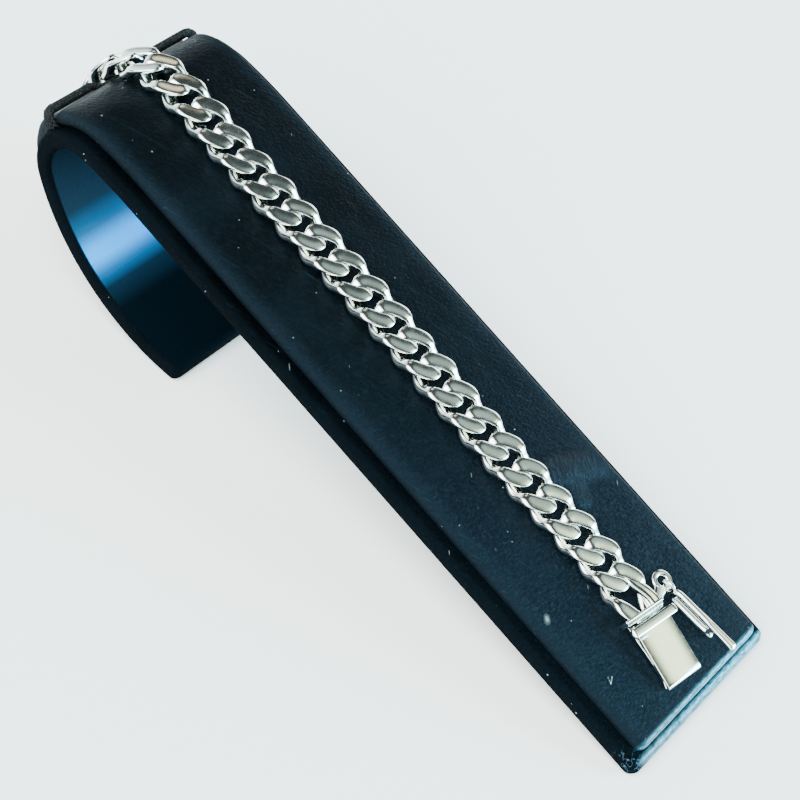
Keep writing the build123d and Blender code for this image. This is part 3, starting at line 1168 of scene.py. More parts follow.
@dataclass
class DisplayStand:
    """Bent strip, padded panel and the elastic around it."""

    width: float = 46.6
    thickness: float = 4.2
    corner: float = 1.8
    rounding: float = 1.3
    front_rounding: float = 2.0
    base_pitch: float = 1.1
    base_steps: int = 30
    base_wave: float = 0.10
    base_wave_scale: tuple[float, float] = (0.09, 0.12)
    crumple_run: tuple[float, float] = (7.0, 1.5)
    crumple_across: tuple[float, float] = (4.5, 0.5)
    pad_inset: float = 2.7
    pad_thickness: float = 3.0
    pad_corner: float = 1.7
    pad_end_rounding: float = 1.3
    pad_side_rounding: float = 1.35
    pad_end_climb: float = -104.0
    pad_pitch: float = 0.8
    pad_steps: int = 44
    pad_foot: float = 0.12
    pad_tuck: float = 0.35
    pad_crown: float = 0.16
    pad_wave: float = 0.07
    pad_wave_scale: Triple = (0.07, 0.1, 3.0)
    pad_ripple: float = 0.09
    pad_ripple_scale: Triple = (0.35, 0.2, 7.0)
    elastic_climb: float = -50.0
    squeeze: float = 0.6
    puff: float = 0.16
    puff_place: tuple[float, float] = (4.6, 1.8)
    cover: Leatherette = Leatherette(
        gloss=0.004,
        front_painted_light=(0.0010, 0.0024, 0.0036),
        grain_and_highlight=(0.004, 0.009, 0.014),
        worn=(0.002, 0.004, 0.006),
        sheen=(0.40, 0.72, 1.0),
        rough=0.38,
        polished_until=2.5,
        lint_share=1.1,
        # The stops' bright blue band paints a highlight on the inner face.
        lining=(
            (0.0, (0.0005, 0.001, 0.0015)),
            (0.60, (0.004, 0.010, 0.018)),
            (0.68, (0.009, 0.024, 0.044)),
            (0.700, (0.008, 0.09, 0.22)),
            (0.714, (0.0, 0.31, 0.88)),
            (0.723, (0.0, 0.31, 0.88)),
            (0.733, (0.003, 0.10, 0.26)),
            (0.745, (0.004, 0.014, 0.028)),
            (0.765, (0.001, 0.003, 0.005)),
        ),
    )
    pad_cover: Leatherette = Leatherette(
        name="pad_leatherette",
        polished_until=4.4,
        lint_share=0.8,
        # Folds in relief, with painted highlight streaks on their puckers.
        ridges=(
            Mark((55.0, 7.5), (50.0, 18.5), 4.5, 0.7),
            Mark((47.0, 8.5), (52.0, 10.5), 3.0, 0.4),
        ),
        marks=(
            Mark((34.5, -17.0), (33.7, -17.6), 0.85, 0.07, True),
            Mark((34.3, -17.1), (33.9, -17.3), 0.5, 0.35),
            Mark((17.7, -15.6), (16.4, -16.1), 0.15, 0.5),
            Mark((16.4, -16.1), (17.2, -14.8), 0.15, 0.5),
            Mark((156.6, -0.9), (155.8, 0.1), 0.20, 0.6),
            Mark((155.8, 0.1), (155.0, -1.8), 0.18, 0.6),
            Mark((153.4, 1.8), (151.0, 0.9), 0.16, 0.5),
            Mark((168.6, 5.2), (168.3, 5.5), 0.22, 0.6),
            Mark((171.8, 4.4), (171.5, 4.2), 0.20, 0.6),
            Mark((166.2, 5.3), (165.9, 5.1), 0.18, 0.6),
        ),
    )
    yarn: BraidedElastic = BraidedElastic()

    @staticmethod
    def shrink(distance: float, radius: float) -> float:
        """How far a rounded corner stands back at a distance from the end.

        Args:
            distance: Distance from the end.
            radius: Radius of the corner.

        Returns:
            The setback.
        """
        if distance >= radius:
            return 0.0
        return radius - math.sqrt(max(0.0, radius**2 - (radius - distance) ** 2))

    @staticmethod
    def spaced_runs(start: float, end: float, pitch: float, corner: float) -> list[float]:
        """Stations along a strip, closer together at both of its rounded ends.

        Args:
            start: Run of the first one.
            end: Run of the last one.
            pitch: Distance between them in the middle.
            corner: Radius of the rounded ends.

        Returns:
            Their runs, in order.
        """
        ends = [arc_back(corner, 90 * step / 7) for step in range(7)]
        length = end - start - 2 * corner
        count = max(2, round(length / pitch))
        middle = [start + corner + length * step / count for step in range(count + 1)]
        return [start + gap for gap in ends] + middle + [end - gap for gap in reversed(ends)]

    def base(self) -> bpy.types.Object:
        """The covered strip, lined on its inner face.

        Returns:
            The piece.
        """
        whole = RAMP.whole_run()
        runs = self.spaced_runs(0.0, whole, self.base_pitch, self.corner)
        skin = Skin()
        for run in runs:
            distance = min(run, whole - run)
            half = self.width / 2 - self.shrink(distance, self.corner)
            cut = self.shrink(distance, self.front_rounding if run < whole / 2 else self.rounding)
            for across, height, inside in self.base_section(half, cut):
                wave = wave_at(run, across, (*self.base_wave_scale, height)) * self.base_wave
                edge = smooth_step(3.0, 0.3, half - abs(across))
                lift = wave * (1 - edge) * (0.4 if inside else 0.6)
                place = RAMP.bend(run, across, height + lift)
                place.z = max(place.z, 0.0)
                near_corner = smooth_step(*self.crumple_across, half + across)
                skin.add(
                    place,
                    surface=Vector((run, across, height)),
                    lining=inside,
                    edge=edge,
                    crumple=smooth_step(*self.crumple_run, run) * near_corner,
                )
        return skin.piece("ramp_strip", len(runs), self.cover)

    def base_section(self, half: float, cut: float) -> list[tuple[float, float, float]]:
        """Points around the strip's section.

        Args:
            half: Half the strip's width.
            cut: How far its faces stand back at a rounded end.

        Returns:
            Places across, heights and 1.0 on the inner face.
        """
        low = cut - self.thickness
        radius = min(self.rounding, self.thickness / 2 - cut)
        flat = half - radius
        face = [
            (-flat + 2 * flat * step / self.base_steps, -cut)
            for step in range(self.base_steps + 1)
        ]
        side = []
        for step in range(1, 6):
            angle = 90 * step / 6
            side.append((flat + radius * sin_of(angle), -cut - arc_back(radius, angle)))
        for step in range(5):
            angle = 90 * step / 5
            side.append((flat + radius * cos_of(angle), low + arc_back(radius, 90 - angle)))
        points = [(across, height, 0.0) for across, height in face + side]
        points += [(-across, low - cut - height, 1.0) for across, height in face]
        return points + [(-across, low - cut - height, 0.0) for across, height in side]

    def pad(self) -> bpy.types.Object:
        """The padded panel: crowned, tucked in at its foot and pinched by the elastic.

        Returns:
            The piece.
        """
        start = self.pad_inset
        end = RAMP.run_to(self.pad_end_climb)
        runs = self.spaced_runs(start, end, self.pad_pitch, self.pad_corner)
        elastic_run = RAMP.run_to(self.elastic_climb)
        skin = Skin()
        for run in runs:
            distance = min(run - start, end - run)
            half = self.width / 2 - self.pad_inset - self.shrink(distance, self.pad_corner)
            fall = self.shrink(distance, self.pad_end_rounding)
            gap = abs(run - elastic_run)
            pinch = self.squeeze * (1 - smooth_step(1.2, 2.6, gap))
            for across, height in self.pad_section(half, fall, pinch, gap):
                inward = half - abs(across)
                rest = smooth_step(0.0, 2.5, inward)
                wave = wave_at(run, across, self.pad_wave_scale)
                ripple = wave_at(run, across, self.pad_ripple_scale) * (1 - rest)
                lift = self.pad_wave * wave + self.pad_ripple * ripple
                skin.add(
                    RAMP.bend(run, across, height + lift * smooth_step(0.8, 2.4, height)),
                    surface=Vector((run, across, height)),
                    edge=1 - smooth_step(0.3, 4.5, min(inward, distance)),
                    crumple=0.0,
                )
        return skin.piece("padded_panel", len(runs), self.pad_cover)

    def pad_section(self, half: float, fall: float, pinch: float, gap: float) -> Section:
        """Points around the panel's section.

        Args:
            half: Half the panel's width.
            fall: How far the top stands back at a rounded end.
            pinch: How far the elastic presses the top and the sides in.
            gap: Distance from the elastic, beside which the top swells.

        Returns:
            Places across and heights above the strip's face.
        """
        foot = self.pad_foot
        top = self.pad_thickness - fall - pinch + self.puff * bump_at(gap, *self.puff_place)
        side = half - pinch
        radius = min(self.pad_side_rounding, max(0.3, (top - foot) * 0.55))
        top -= 0.04
        points: Section = []
        for step in range(self.pad_steps + 1):
            share = -1 + 2 * step / self.pad_steps
            crown = self.pad_crown * (1 - share**4) * (1 - min(1.0, fall))
            points.append(((side - radius) * share, top + crown))
        edge: Section = []
        for angle in range(15, 91, 15):
            edge.append((side - radius + radius * sin_of(angle), top - arc_back(radius, angle)))
        edge.append((side - self.pad_tuck * 0.3, foot + 0.5))
        edge.append((side - self.pad_tuck, foot))
        under = side - self.pad_tuck
        bottom = [(under - 2 * under * step / 8, foot) for step in range(1, 8)]
        return points + edge + bottom + [(-across, height) for across, height in reversed(edge)]

    def build(self) -> None:
        """Builds and dresses the stand."""
        settle(self.base(), ROOT, "stand_cover", "stand_base")
        pad = self.pad()
        settle(pad, ROOT, "pad_cover", "stand_pad")
        braid = ElasticBraid(self.width / 2 - self.pad_inset, self.pad_thickness, self.squeeze)
        elastic = braid.build(RAMP.run_to(self.elastic_climb), self.yarn)
        settle(elastic, ROOT, "elastic", "elastic_band")


@dataclass
class ElasticBraid:
    """Rows of slanted yarn stitches along an upturned U, on a core that the chain presses flat."""

    half_width: float
    pad_thickness: float
    squeeze: float
    band: float = 2.6
    thickness: float = 1.9
    pressed: float = 0.7
    proud: float = 0.95
    bend: float = 1.5
    aside: float = 0.75
    above: float = 0.3
    foot: float = 0.25
    pressed_across: tuple[float, float] = (5.5, 9.0)
    rows: int = 7
    stitch: float = 0.95
    stitch_share: float = 1.35
    stitch_width: float = 0.50
    stitch_height: float = 0.36
    sunk: float = 0.05
    slant: float = 32.0
    fan: float = 84.0
    askew: float = 0.08
    seed: int = 4

    def hoop(self) -> list[Vector]:
        """Middle line of the elastic, across and up, from foot to foot.

        Returns:
            Its points.
        """
        half = self.half_width - self.squeeze + self.aside
        top = self.pad_thickness - self.squeeze + self.above
        shoulder = top + self.proud - self.bend
        points = [Vector((-half, 0, self.foot)), Vector((-half, 0, shoulder))]
        for step in range(1, 8):
            angle = 90 * step / 8
            rise = shoulder + self.bend * sin_of(angle)
            points.append(Vector((arc_back(self.bend, angle) - half, 0, rise)))
        for step in range(16):
            across = (self.bend - half) * (1 - step / 16)
            rise = top + self.proud * smooth_step(*self.pressed_across, -across)
            points.append(Vector((across, 0, rise)))
        return points + [Vector((-p.x, 0, p.z)) for p in reversed(points)]

    def core(self, finish: Finish) -> bpy.types.Object:
        """The core under the stitches: flat under the chain and thick beside it.

        Args:
            finish: Its yarn.

        Returns:
            The piece.
        """
        path = self.hoop()

        def section(share: float) -> Section:
            """Oval as thick as the elastic is there.

            Args:
                share: Share of the path.

            Returns:
                The section's points, sideways and up.
            """
            across = path[round(share * (len(path) - 1))].x
            swell = smooth_step(*self.pressed_across, abs(across))
            thick = self.pressed + (self.thickness - self.pressed) * swell
            return oval(self.band - 2 * self.sunk, thick, 20)

        return sweep("elastic_core", path, section, finish, up=Vector((0.001, 0, 1)))

    def sizes(self) -> dict[str, Any]:
        """The tree's inputs."""
        sizes = titled(self, "rows", "band", "thickness", "pressed", "stitch", "seed")
        return sizes | {"Slant": math.radians(self.slant)}

    def tree(self, finish: Finish) -> bpy.types.NodeTree:
        """Geometry tree that sets stitches along a curve, in rows that slant in turn.

        Args:
            finish: The stitches' yarn.

        Returns:
            The whole tree.
        """
        sheet = GeometrySheet("elastic_braid", self.sizes())
        given = sheet.given
        inputs = {"Curve": given["Geometry"], "Length": given["Stitch"]}
        line = sheet.node("GeometryNodeResampleCurve", {"mode": "LENGTH"}, inputs)[0]
        points = sheet.node("GeometryNodeCurveToPoints", {"mode": "EVALUATED"}, {0: line})
        inputs = {0: points[0], "Amount": given["Rows"]}
        rows = sheet.node("GeometryNodeDuplicateElements", {"domain": "POINT"}, inputs)
        row = rows["Duplicate Index"]
        middle = (given["Rows"] - 1) / 2
        odd = row.maths("MODULO", 2.0)
        around = (row - middle) / middle * math.radians(self.fan)
        place = sheet.node("GeometryNodeInputPosition")["Position"]
        swell = abs(sheet.parts(place)[0]).step(*self.pressed_across)
        thick = given["Pressed"] + swell * (given["Thickness"] - given["Pressed"])
        across = around.maths("SINE") * (given["Band"] * 0.5 - self.sunk)
        lift = around.maths("COSINE") * (thick * 0.5 - self.sunk)
        tangent = points["Tangent"]
        outward = sheet.vector("CROSS_PRODUCT", tangent, (0.0, 1.0, 0.0))
        raised = sheet.vector("SCALE", outward, scale=lift)
        shift = sheet.vector("ADD", sheet.combined(y=across), raised)
        slide = sheet.vector("SCALE", tangent, scale=odd * given["Stitch"] * 0.5)
        inputs = {"Geometry": rows[0], "Offset": sheet.vector("ADD", shift, slide)}
        moved = sheet.node("GeometryNodeSetPosition", None, inputs)[0]
        swing = (odd * 2 - 1) * given["Slant"]
        swing = swing + sheet.scattered("FLOAT", -self.askew, self.askew, 1)
        turned = sheet.facing(outward, tangent)
        turned = sheet.turned(turned, sheet.combined(x=-around))
        turned = sheet.turned(turned, sheet.combined(z=swing))
        inputs = {"Segments": 8, "Rings": 6, "Radius": 0.5}
        bead = sheet.node("GeometryNodeMeshUVSphere", None, inputs)[0]
        length = given["Stitch"] * self.stitch_share
        size = sheet.combined(length, self.stitch_width, self.stitch_height)
        return sheet.copies(moved, bead, turned, finish, size)

    def build(self, run: float, finish: Finish) -> bpy.types.Object:
        """Makes the stitched band.

        Args:
            run: Where the elastic crosses the strip.
            finish: Its yarn.

        Returns:
            The piece.
        """
        point, climb = RAMP.station(run)
        seat = Matrix(
            (
                (0.0, cos_of(climb), sin_of(climb), point.x),
                (1.0, 0.0, 0.0, 0.0),
                (0.0, -sin_of(climb), cos_of(climb), point.z),
                (0.0, 0.0, 0.0, 1.0),
            )
        )
        stitches = grown("elastic_stitches", self.hoop(), self.tree(finish), self.sizes())
        return joined("braided_elastic", [stitches, self.core(finish)], seat)


@dataclass(frozen=True)
class CurbLink:
    """Sizes of one link: an oval of round wire, twisted about its length and pressed flat.

    Where the wire is pressed it spreads into a wide, low lobe; at the link's sides it stays
    rounder and narrower.
    """

    pitch: float = 7.1
    width: float = 9.8
    thickness: float = 3.3
    twist: float = 45.0
    squareness: float = 2.4
    reach: float = 5.0
    level: float = 1.4
    lead: float = 0.9
    side_width: float = 2.3
    side_depth: float = 2.2
    lobe_width: float = 3.25
    lobe_depth: float = 1.9
    edge_squareness: float = 2.4
    softness: float = 0.6
    dome: float = 0.14

    @property
    def spread(self) -> float:
        """Half the width of its centre line."""
        return (self.width - self.side_width) / 2

    def line_sizes(self) -> dict[str, float]:
        """Inputs of the centre line's group."""
        sizes = titled(self, "reach", "spread", "squareness", "level", "lead")
        return sizes | {"Low Reach": self.reach, "Twist": math.radians(self.twist)}

    def wire_sizes(self) -> dict[str, float]:
        """Inputs that shape the wire around the centre line."""
        lobes = titled(self, "side_width", "side_depth", "lobe_width", "lobe_depth")
        return lobes | titled(self, "edge_squareness", "thickness", "softness", "dome")


@dataclass
class CurbChain:
    """The links, set along the ramp and over its crest."""

    link: CurbLink = CurbLink()
    count: int = 24
    start: float = 34.0
    height: float = 5.05
    sway: float = 0.35
    sway_length: float = 74.0
    sway_start: float = 30.0
    loose_until: float = 160.0
    askew: Triple = (0.035, 0.03, 0.02)
    seed: int = 11
    ring_steps: int = 84
    wire_steps: int = 24
    leg_width: float = 2.0
    metal: PolishedSilver = PolishedSilver()

    def path_stretches(self) -> tuple[Stretch, ...]:
        """The chain's side path: down the ramp, over the crest and straight down behind it."""
        slope = Stretch(length=RAMP.length)
        return (slope, RAMP.shoulder, RAMP.crest_to(-90.0), Stretch(length=90.0))

    def seat(self, run: float) -> Matrix:
        """Where a link lies at a run: X down the ramp, Z out of its face.

        Args:
            run: Run along the chain's path.

        Returns:
            The link's frame, in millimetres.
        """
        phase = 360 * (run - self.sway_start) / self.sway_length
        slope = -self.sway * math.tau / self.sway_length * sin_of(phase)
        point, climb = RAMP.station(run, self.path_stretches(), self.height)
        point.y = self.sway * cos_of(phase)
        down = Vector((cos_of(climb), -slope, -sin_of(climb))).normalized()
        out = Vector((sin_of(climb), 0.0, cos_of(climb)))
        side = out.cross(down)
        turn = Matrix((down, side, out)).transposed()
        return Matrix.Translation(point) @ turn.to_4x4()

    def sizes(self) -> dict[str, Any]:
        """The tree's inputs for the whole chain.

        Returns:
            The inputs by name.
        """
        chain = titled(self, "start", "sway", "sway_length", "sway_start", "loose_until")
        counts = titled(self, "count", "ring_steps", "wire_steps", "seed")
        link = titled(self.link, "pitch") | self.link.line_sizes() | self.link.wire_sizes()
        return chain | counts | link

    def centre_line(self) -> bpy.types.NodeTree:
        """Group that gives a point on a link's centre line for an angle.

        Returns:
            The group.
        """
        sheet = GeometrySheet("curb_centre_line", {"Angle": 0.0} | self.link.line_sizes(), False)
        given = sheet.given
        power = given["Squareness"] ** -1.0 * 2.0
        along = given["Angle"].maths("COSINE").squared(power)
        across = given["Angle"].maths("SINE").squared(power) * given["Spread"]
        twist = -((along * (math.pi / 2)).maths("SINE") * given["Twist"])
        reach = (along > 0.0).between(given["Reach"], given["Low Reach"])
        lead = across - along * given["Lead"]
        lift = (lead * twist.maths("SINE") / given["Level"]).maths("TANH") * given["Level"]
        point = sheet.combined(along * reach, across * twist.maths("COSINE"), lift)
        sheet.node("NodeGroupOutput", None, {0: point})
        return sheet.tree

    def tree(self) -> bpy.types.NodeTree:
        """Geometry tree that forms one link and sets it along a curve."""
        sheet = GeometrySheet("curb_chain", self.sizes())
        return self.set_out(sheet, self.link_mesh(sheet))

    def link_mesh(self, sheet: GeometrySheet) -> Value:
        """Forms the link from a grid: around the oval one way, around the wire the other.

        Args:
            sheet: The tree's sheet.

        Returns:
            The link's shape.
        """
        given = sheet.given
        row = given["Wire Steps"] + 1
        inputs = {"Vertices X": given["Ring Steps"] + 1, "Vertices Y": row}
        grid = sheet.node("GeometryNodeMeshGrid", None, inputs)[0]
        index = sheet.node("GeometryNodeInputIndex")[0]
        angle = (index / row).maths("FLOOR") / given["Ring Steps"] * math.tau
        around = index.maths("MODULO", row) / given["Wire Steps"] * math.tau
        group = {"node_tree": self.centre_line()}
        line = {name: given[name] for name in self.link.line_sizes()}

        def point_at(shift: float) -> Value:
            """Point of the centre line a little before or after the angle."""
            return sheet.node("GeometryNodeGroup", group, {"Angle": angle + shift} | line)[0]

        centre = point_at(0.0)
        step = math.radians(0.5)
        tangent = sheet.vector("SUBTRACT", point_at(step), point_at(-step))
        heading = sheet.vector("NORMALIZE", tangent)
        lean = sheet.vector("SCALE", heading, scale=sheet.parts(heading)[2])
        raised = sheet.vector("NORMALIZE", sheet.vector("SUBTRACT", (0.0, 0.0, 1.0), lean))
        side = sheet.vector("CROSS_PRODUCT", heading, raised)
        pressed = (abs(sheet.parts(centre)[2]) / given["Level"]).step(0.0, 0.9)
        half_width = pressed.between(given["Side Width"], given["Lobe Width"]) * 0.5
        half_depth = pressed.between(given["Side Depth"], given["Lobe Depth"]) * 0.5
        power = given["Edge Squareness"] ** -1.0 * 2.0
        sideways = around.maths("COSINE").squared(power)
        upward = around.maths("SINE").squared(power)
        spoke = sheet.vector(
            "ADD",
            sheet.vector("SCALE", side, scale=sideways * half_width),
            sheet.vector("SCALE", raised, scale=upward * half_depth),
        )
        corner = sheet.parts(sheet.vector("ADD", centre, spoke))
        limit = given["Thickness"] * 0.5 - sideways * sideways * given["Dome"]
        soft = given["Softness"]
        flat = corner[2].maths("SMOOTH_MIN", limit, soft).maths("SMOOTH_MAX", -limit, soft)
        inputs = {"Geometry": grid, "Position": sheet.combined(corner[0], corner[1], flat)}
        formed = sheet.node("GeometryNodeSetPosition", None, inputs)[0]
        facet = (abs(corner[2]) - limit).step(-0.12, 0.10)
        recess = (-sideways).step(-0.2, 0.9) * (-corner[2]).step(-1.0, 0.6)
        marked = sheet.stored(sheet.stored(formed, "facet", facet), "recess", recess)
        inputs = {0: marked, "Distance": 0.002}
        return sheet.node("GeometryNodeMergeByDistance", None, inputs)[0]

    def set_out(self, sheet: GeometrySheet, link: Value) -> bpy.types.NodeTree:
        """Sets links along the curve, swaying from side to side, each a little askew.

        Args:
            sheet: The tree's sheet.
            link: The link's shape.

        Returns:
            The whole tree.
        """
        given = sheet.given
        run = sheet.node("GeometryNodeInputIndex")[0] * given["Pitch"] + given["Start"]
        settings = {"mode": "LENGTH", "data_type": "FLOAT"}
        inputs = {"Curves": given["Geometry"], "Length": run}
        sample = sheet.node("GeometryNodeSampleCurve", settings, inputs)
        phase = (run - given["Sway Start"]) / given["Sway Length"] * math.tau
        slope = phase.maths("SINE") * given["Sway"] / given["Sway Length"] * -math.tau
        aside = sheet.combined(y=phase.maths("COSINE") * given["Sway"])
        place = sheet.vector("ADD", sample["Position"], aside)
        inputs = {"Count": given["Count"], "Position": place}
        points = sheet.node("GeometryNodePoints", None, inputs)[0]
        down = sheet.vector("SCALE", sample["Tangent"], scale=-1.0)
        out = sheet.vector("CROSS_PRODUCT", down, (0.0, 1.0, 0.0))
        facing = sheet.facing(out, sheet.vector("ADD", down, sheet.combined(y=-slope)))
        low = tuple(-angle for angle in self.askew)
        askew = sheet.scattered("FLOAT_VECTOR", low, self.askew, 0)
        tilt = sheet.vector("SCALE", askew, scale=run < given["Loose Until"])
        return sheet.copies(points, link, sheet.turned(facing, tilt), self.metal)

    def build(self) -> None:
        """Builds the links as one piece."""
        path = self.path_stretches()
        line = [RAMP.station(step * 0.5, path, self.height)[0] for step in range(480)]
        piece = tidy_mesh(grown("curb_links", line, self.tree(), self.sizes()))
        nodes = [f"link_{number:02d}" for number in range(1, self.count + 1)]
        settle(piece, ROOT, "silver", *nodes)

    def end_link(self, name: str, clasp: "ClaspTongue") -> bpy.types.Object:
        """One link with long legs.

        Args:
            name: The piece's name.
            clasp: The clasp whose sizes it takes.

        Returns:
            The piece, in the clasp's frame, with its legs cut off inside the end cap.
        """
        sizes = self.sizes() | {
            "Start": 0.0,
            "Count": 1,
            "Sway": 0.0,
            "Loose Until": -1.0,
            "Low Reach": clasp.leg_reach,
            "Side Width": self.leg_width,
            "Spread": (self.link.width - self.leg_width) / 2,
        }
        line = [Vector((0, 0, 0)), Vector((-50, 0, 0))]
        piece = tidy_mesh(grown(name, line, bpy.data.node_groups["curb_chain"], sizes))
        work = bmesh.new()
        work.from_mesh(piece.data)
        middle = Vector((-clasp.leg_length, 0, clasp.height / 2))
        bmesh.ops.translate(work, verts=work.verts, vec=middle * MM)
        bmesh.ops.bisect_plane(
            work,
            geom=work.verts[:] + work.edges[:] + work.faces[:],
            plane_co=(clasp.leg_cut * MM, 0, 0),
            plane_no=(1, 0, 0),
            clear_outer=True,
        )
        work.to_mesh(piece.data)
        work.free()
        return piece


@dataclass
class ClaspTongue:
    """End link, end cap, folded tongue with its thumb bar, and the lug for the safety catch."""

    chain: CurbChain
    yaw: float = -8.5
    height: float = 3.5
    leg_length: float = 4.5
    leg_reach: float = 7.2
    leg_cut: float = 0.5
    cap_width: float = 10.9
    cap_thickness: float = 1.2
    cap_back: Block = Block((0.0, -5.45, 0.0), (0.55, 5.45, 3.5), 0.2)
    cap_neck: Block = Block((0.3, -4.95, 0.4), (1.0, 4.95, 3.1), 0.1)
    cap_front: Block = Block((0.78, -5.3, 0.1), (1.2, 4.85, 3.35), 0.15)
    stop_bar: Block = Block((1.3, -2.2, 1.75), (1.75, 4.6, 3.05), 0.18)
    corner_lip: Block = Block((4.35, -4.75, -0.62), (4.75, -2.3, -0.02), 0.1)
    tongue_width: float = 9.6
    tongue_length: float = 15.9
    tongue_offset: float = 0.1
    tongue_root: float = 0.4
    leaf: float = 0.6
    leaf_rounding: float = 0.14
    lower_inset: float = 0.7
    upper_end: float = 1.9
    fold: float = 0.44
    slope: float = 7.0
    top_place: float = 2.7
    top_rise: float = 1.0
    thumb_place: float = 3.0
    thumb_across: tuple[float, float] = (-6.0, 6.8)
    thumb_width: float = 2.0
    thumb_height: float = 1.05
    thumb_lift: float = 0.42
    far_leg_knots: tuple[Triple, ...] = (
        (-8.4, 1.0, 2.30),
        (-5.8, 2.1, 2.42),
        (-3.0, 3.5, 2.42),
        (-1.2, 4.1, 2.30),
        (0.4, 4.2, 2.05),
    )
    far_leg_width: float = 2.3
    far_leg_depth: float = 1.7
    lug_back: float = 2.7
    lug_out: float = 8.9
    lug_radius: float = 2.4
    lug_hole: float = 1.1
    lug_depth: float = 0.95
    strut_width: float = 2.3
    strut_depth: float = 1.0
    strut_flare: float = 0.9
    strut_inset: float = 1.0
    metal: PolishedSilver = PolishedSilver()

    def seat(self) -> Matrix:
        """The clasp's frame: its back at X = 0, its tip towards +X, its underside at Z = 0.

        Returns:
            The frame, in millimetres.
        """
        pitch = self.chain.link.pitch
        joint = self.chain.seat(self.chain.start - pitch / 2)
        turn = Matrix.Rotation(math.radians(self.yaw), 4, "Z")
        shift = Matrix.Translation((pitch / 2 + self.leg_length, 0.0, -self.height / 2))
        return joint @ turn @ shift

    def lug_point(self) -> Vector:
        """Middle of the lug's hole, in the clasp's frame."""
        return Vector((-self.lug_back, self.lug_out, self.height / 2))

    def leaves(self) -> bpy.types.Object:
        """The tongue's two leaves, folded back at the tip.

        Returns:
            The piece.
        """
        thick = self.leaf
        end = self.tongue_length - self.fold - thick / 2
        middle = straight(Vector((self.tongue_root, 0, thick)), Vector((end, 0, thick)), 6)
        lower = len(middle) - 1
        for step in range(1, 9):
            angle = (180 - self.slope) * step / 8
            rise = thick + arc_back(self.fold, angle)
            middle.append(Vector((end + self.fold * sin_of(angle), 0, rise)))
        length = (end - self.upper_end) / cos_of(self.slope)
        back = Vector((-length * cos_of(self.slope), 0, length * sin_of(self.slope)))
        middle += straight(middle[-1], middle[-1] + back, 12)[1:]
        far = self.tongue_width / 2
        skin = Skin()
        for index, point in enumerate(middle):
            before = middle[max(0, index - 1)]
            after = middle[min(len(middle) - 1, index + 1)]
            heading = (after - before).normalized()
            out = Vector((heading.z, 0, -heading.x))
            near = far - self.lower_inset if index < lower else far
            for sideways, upward in rounded_box(near, far, thick, self.leaf_rounding, 3):
                across = Vector((0, self.tongue_offset + sideways, 0))
                skin.add(point + across + out * upward)
        return skin.piece("clasp_leaves", len(middle), self.metal)

    def top(self) -> float:
        """Height of the upper leaf's face where the thumb bar sits."""
        run = self.tongue_length - self.top_place
        return self.leaf + self.top_rise + run * math.tan(math.radians(self.slope))

    def bars(self) -> list[bpy.types.Object]:
        """End cap with its groove, thumb bar and the strips beside it.

        Returns:
            The pieces.
        """
        metal = self.metal
        return [
            self.cap_back.build("cap_back", metal),
            self.cap_neck.build("cap_neck", metal),
            self.cap_front.build("cap_front", metal),
            self.stop_bar.build("stop_bar", metal),
            self.thumb_bar(),
            self.corner_lip.build("corner_lip", metal, self.top()),
        ]

    def thumb_bar(self) -> bpy.types.Object:
        """The bar that the thumb presses, rounded at its far end.

        Returns:
            The piece.
        """
        height = self.top() + self.thumb_lift
        ends = [Vector((self.thumb_place, y, height)) for y in self.thumb_across]

        def section(share: float) -> Section:
            """Oval that closes at both ends, more slowly at the far one.

            Args:
                share: Share of the path.

            Returns:
                The section's points, sideways and up.
            """
            near = min(1.0, share / 0.04)
            far = min(1.0, (1 - share) / 0.08)
            size = math.sqrt(max(0.02, 1 - (1 - near) ** 2))
            size *= math.sqrt(max(0.02, 1 - (1 - far) ** 2))
            width = self.thumb_width * (0.75 + 0.25 * size) * size**0.5
            return oval(width, self.thumb_height * size, 24, 4.5)

        return sweep("thumb_bar", straight(*ends, 40), section, self.metal)

    def far_leg(self) -> bpy.types.Object:
        """The end link's far leg, pressed broad and flat up to the cap.

        Returns:
            The piece.
        """
        knots = [Vector(knot) for knot in self.far_leg_knots]
        path = knots[:1]
        for knot in knots[1:]:
            path += straight(path[-1], knot, 6)[1:]
        for _ in range(3):
            inner = [(a + b * 2 + c) / 4 for a, b, c in zip(path, path[1:], path[2:])]
            path = [path[0], *inner, path[-1]]

        def section(share: float) -> Section:
            """Pressed bar, rounded off at its upper end.

            Args:
                share: Share of the path.

            Returns:
                The section's points, sideways and up.
            """
            close = math.sqrt(min(1.0, 0.1 + share / 0.2))
            width = self.far_leg_width + 0.5 * share
            return oval(width * close, self.far_leg_depth * close, 24, 2.8)

        return sweep("far_leg", path, section, self.metal)

    def lug(self) -> list[bpy.types.Object]:
        """The lug's ring and the strut that carries it.

        Returns:
            Both pieces.
        """
        centre = self.lug_point()
        middle = (self.lug_radius + self.lug_hole) / 2
        ring = [
            centre + Vector((middle * cos_of(angle), middle * sin_of(angle), 0))
            for angle in range(0, 360, 9)
        ]
        wire = oval(self.lug_radius - self.lug_hole, self.lug_depth, 16, 3.0)
        hoop = sweep("lug_ring", ring, wire, self.metal, closed=True)
        side = self.cap_width / 2 - self.strut_inset
        foot = Vector((self.tongue_root, side, self.height / 2))
        inner = centre + (foot - centre).normalized() * middle

        def neck(share: float) -> Section:
            """Flat bar that flares where it meets the cap and the ring."""
            flare = self.strut_flare * (2 * share - 1) ** 2
            return oval(self.strut_width + flare, self.strut_depth, 16, 3.4)

        return [hoop, sweep("lug_strut", straight(foot, inner, 12), neck, self.metal)]

    def build(self) -> None:
        """Builds the clasp's tongue as one soldered piece."""
        link = self.chain.end_link("clasp_end_link", self)
        parts = [link, self.far_leg(), self.leaves(), *self.bars(), *self.lug()]
        piece = joined("clasp_tongue_metal", parts, self.seat())
        settle(piece, ROOT, "silver", "clasp_tongue")


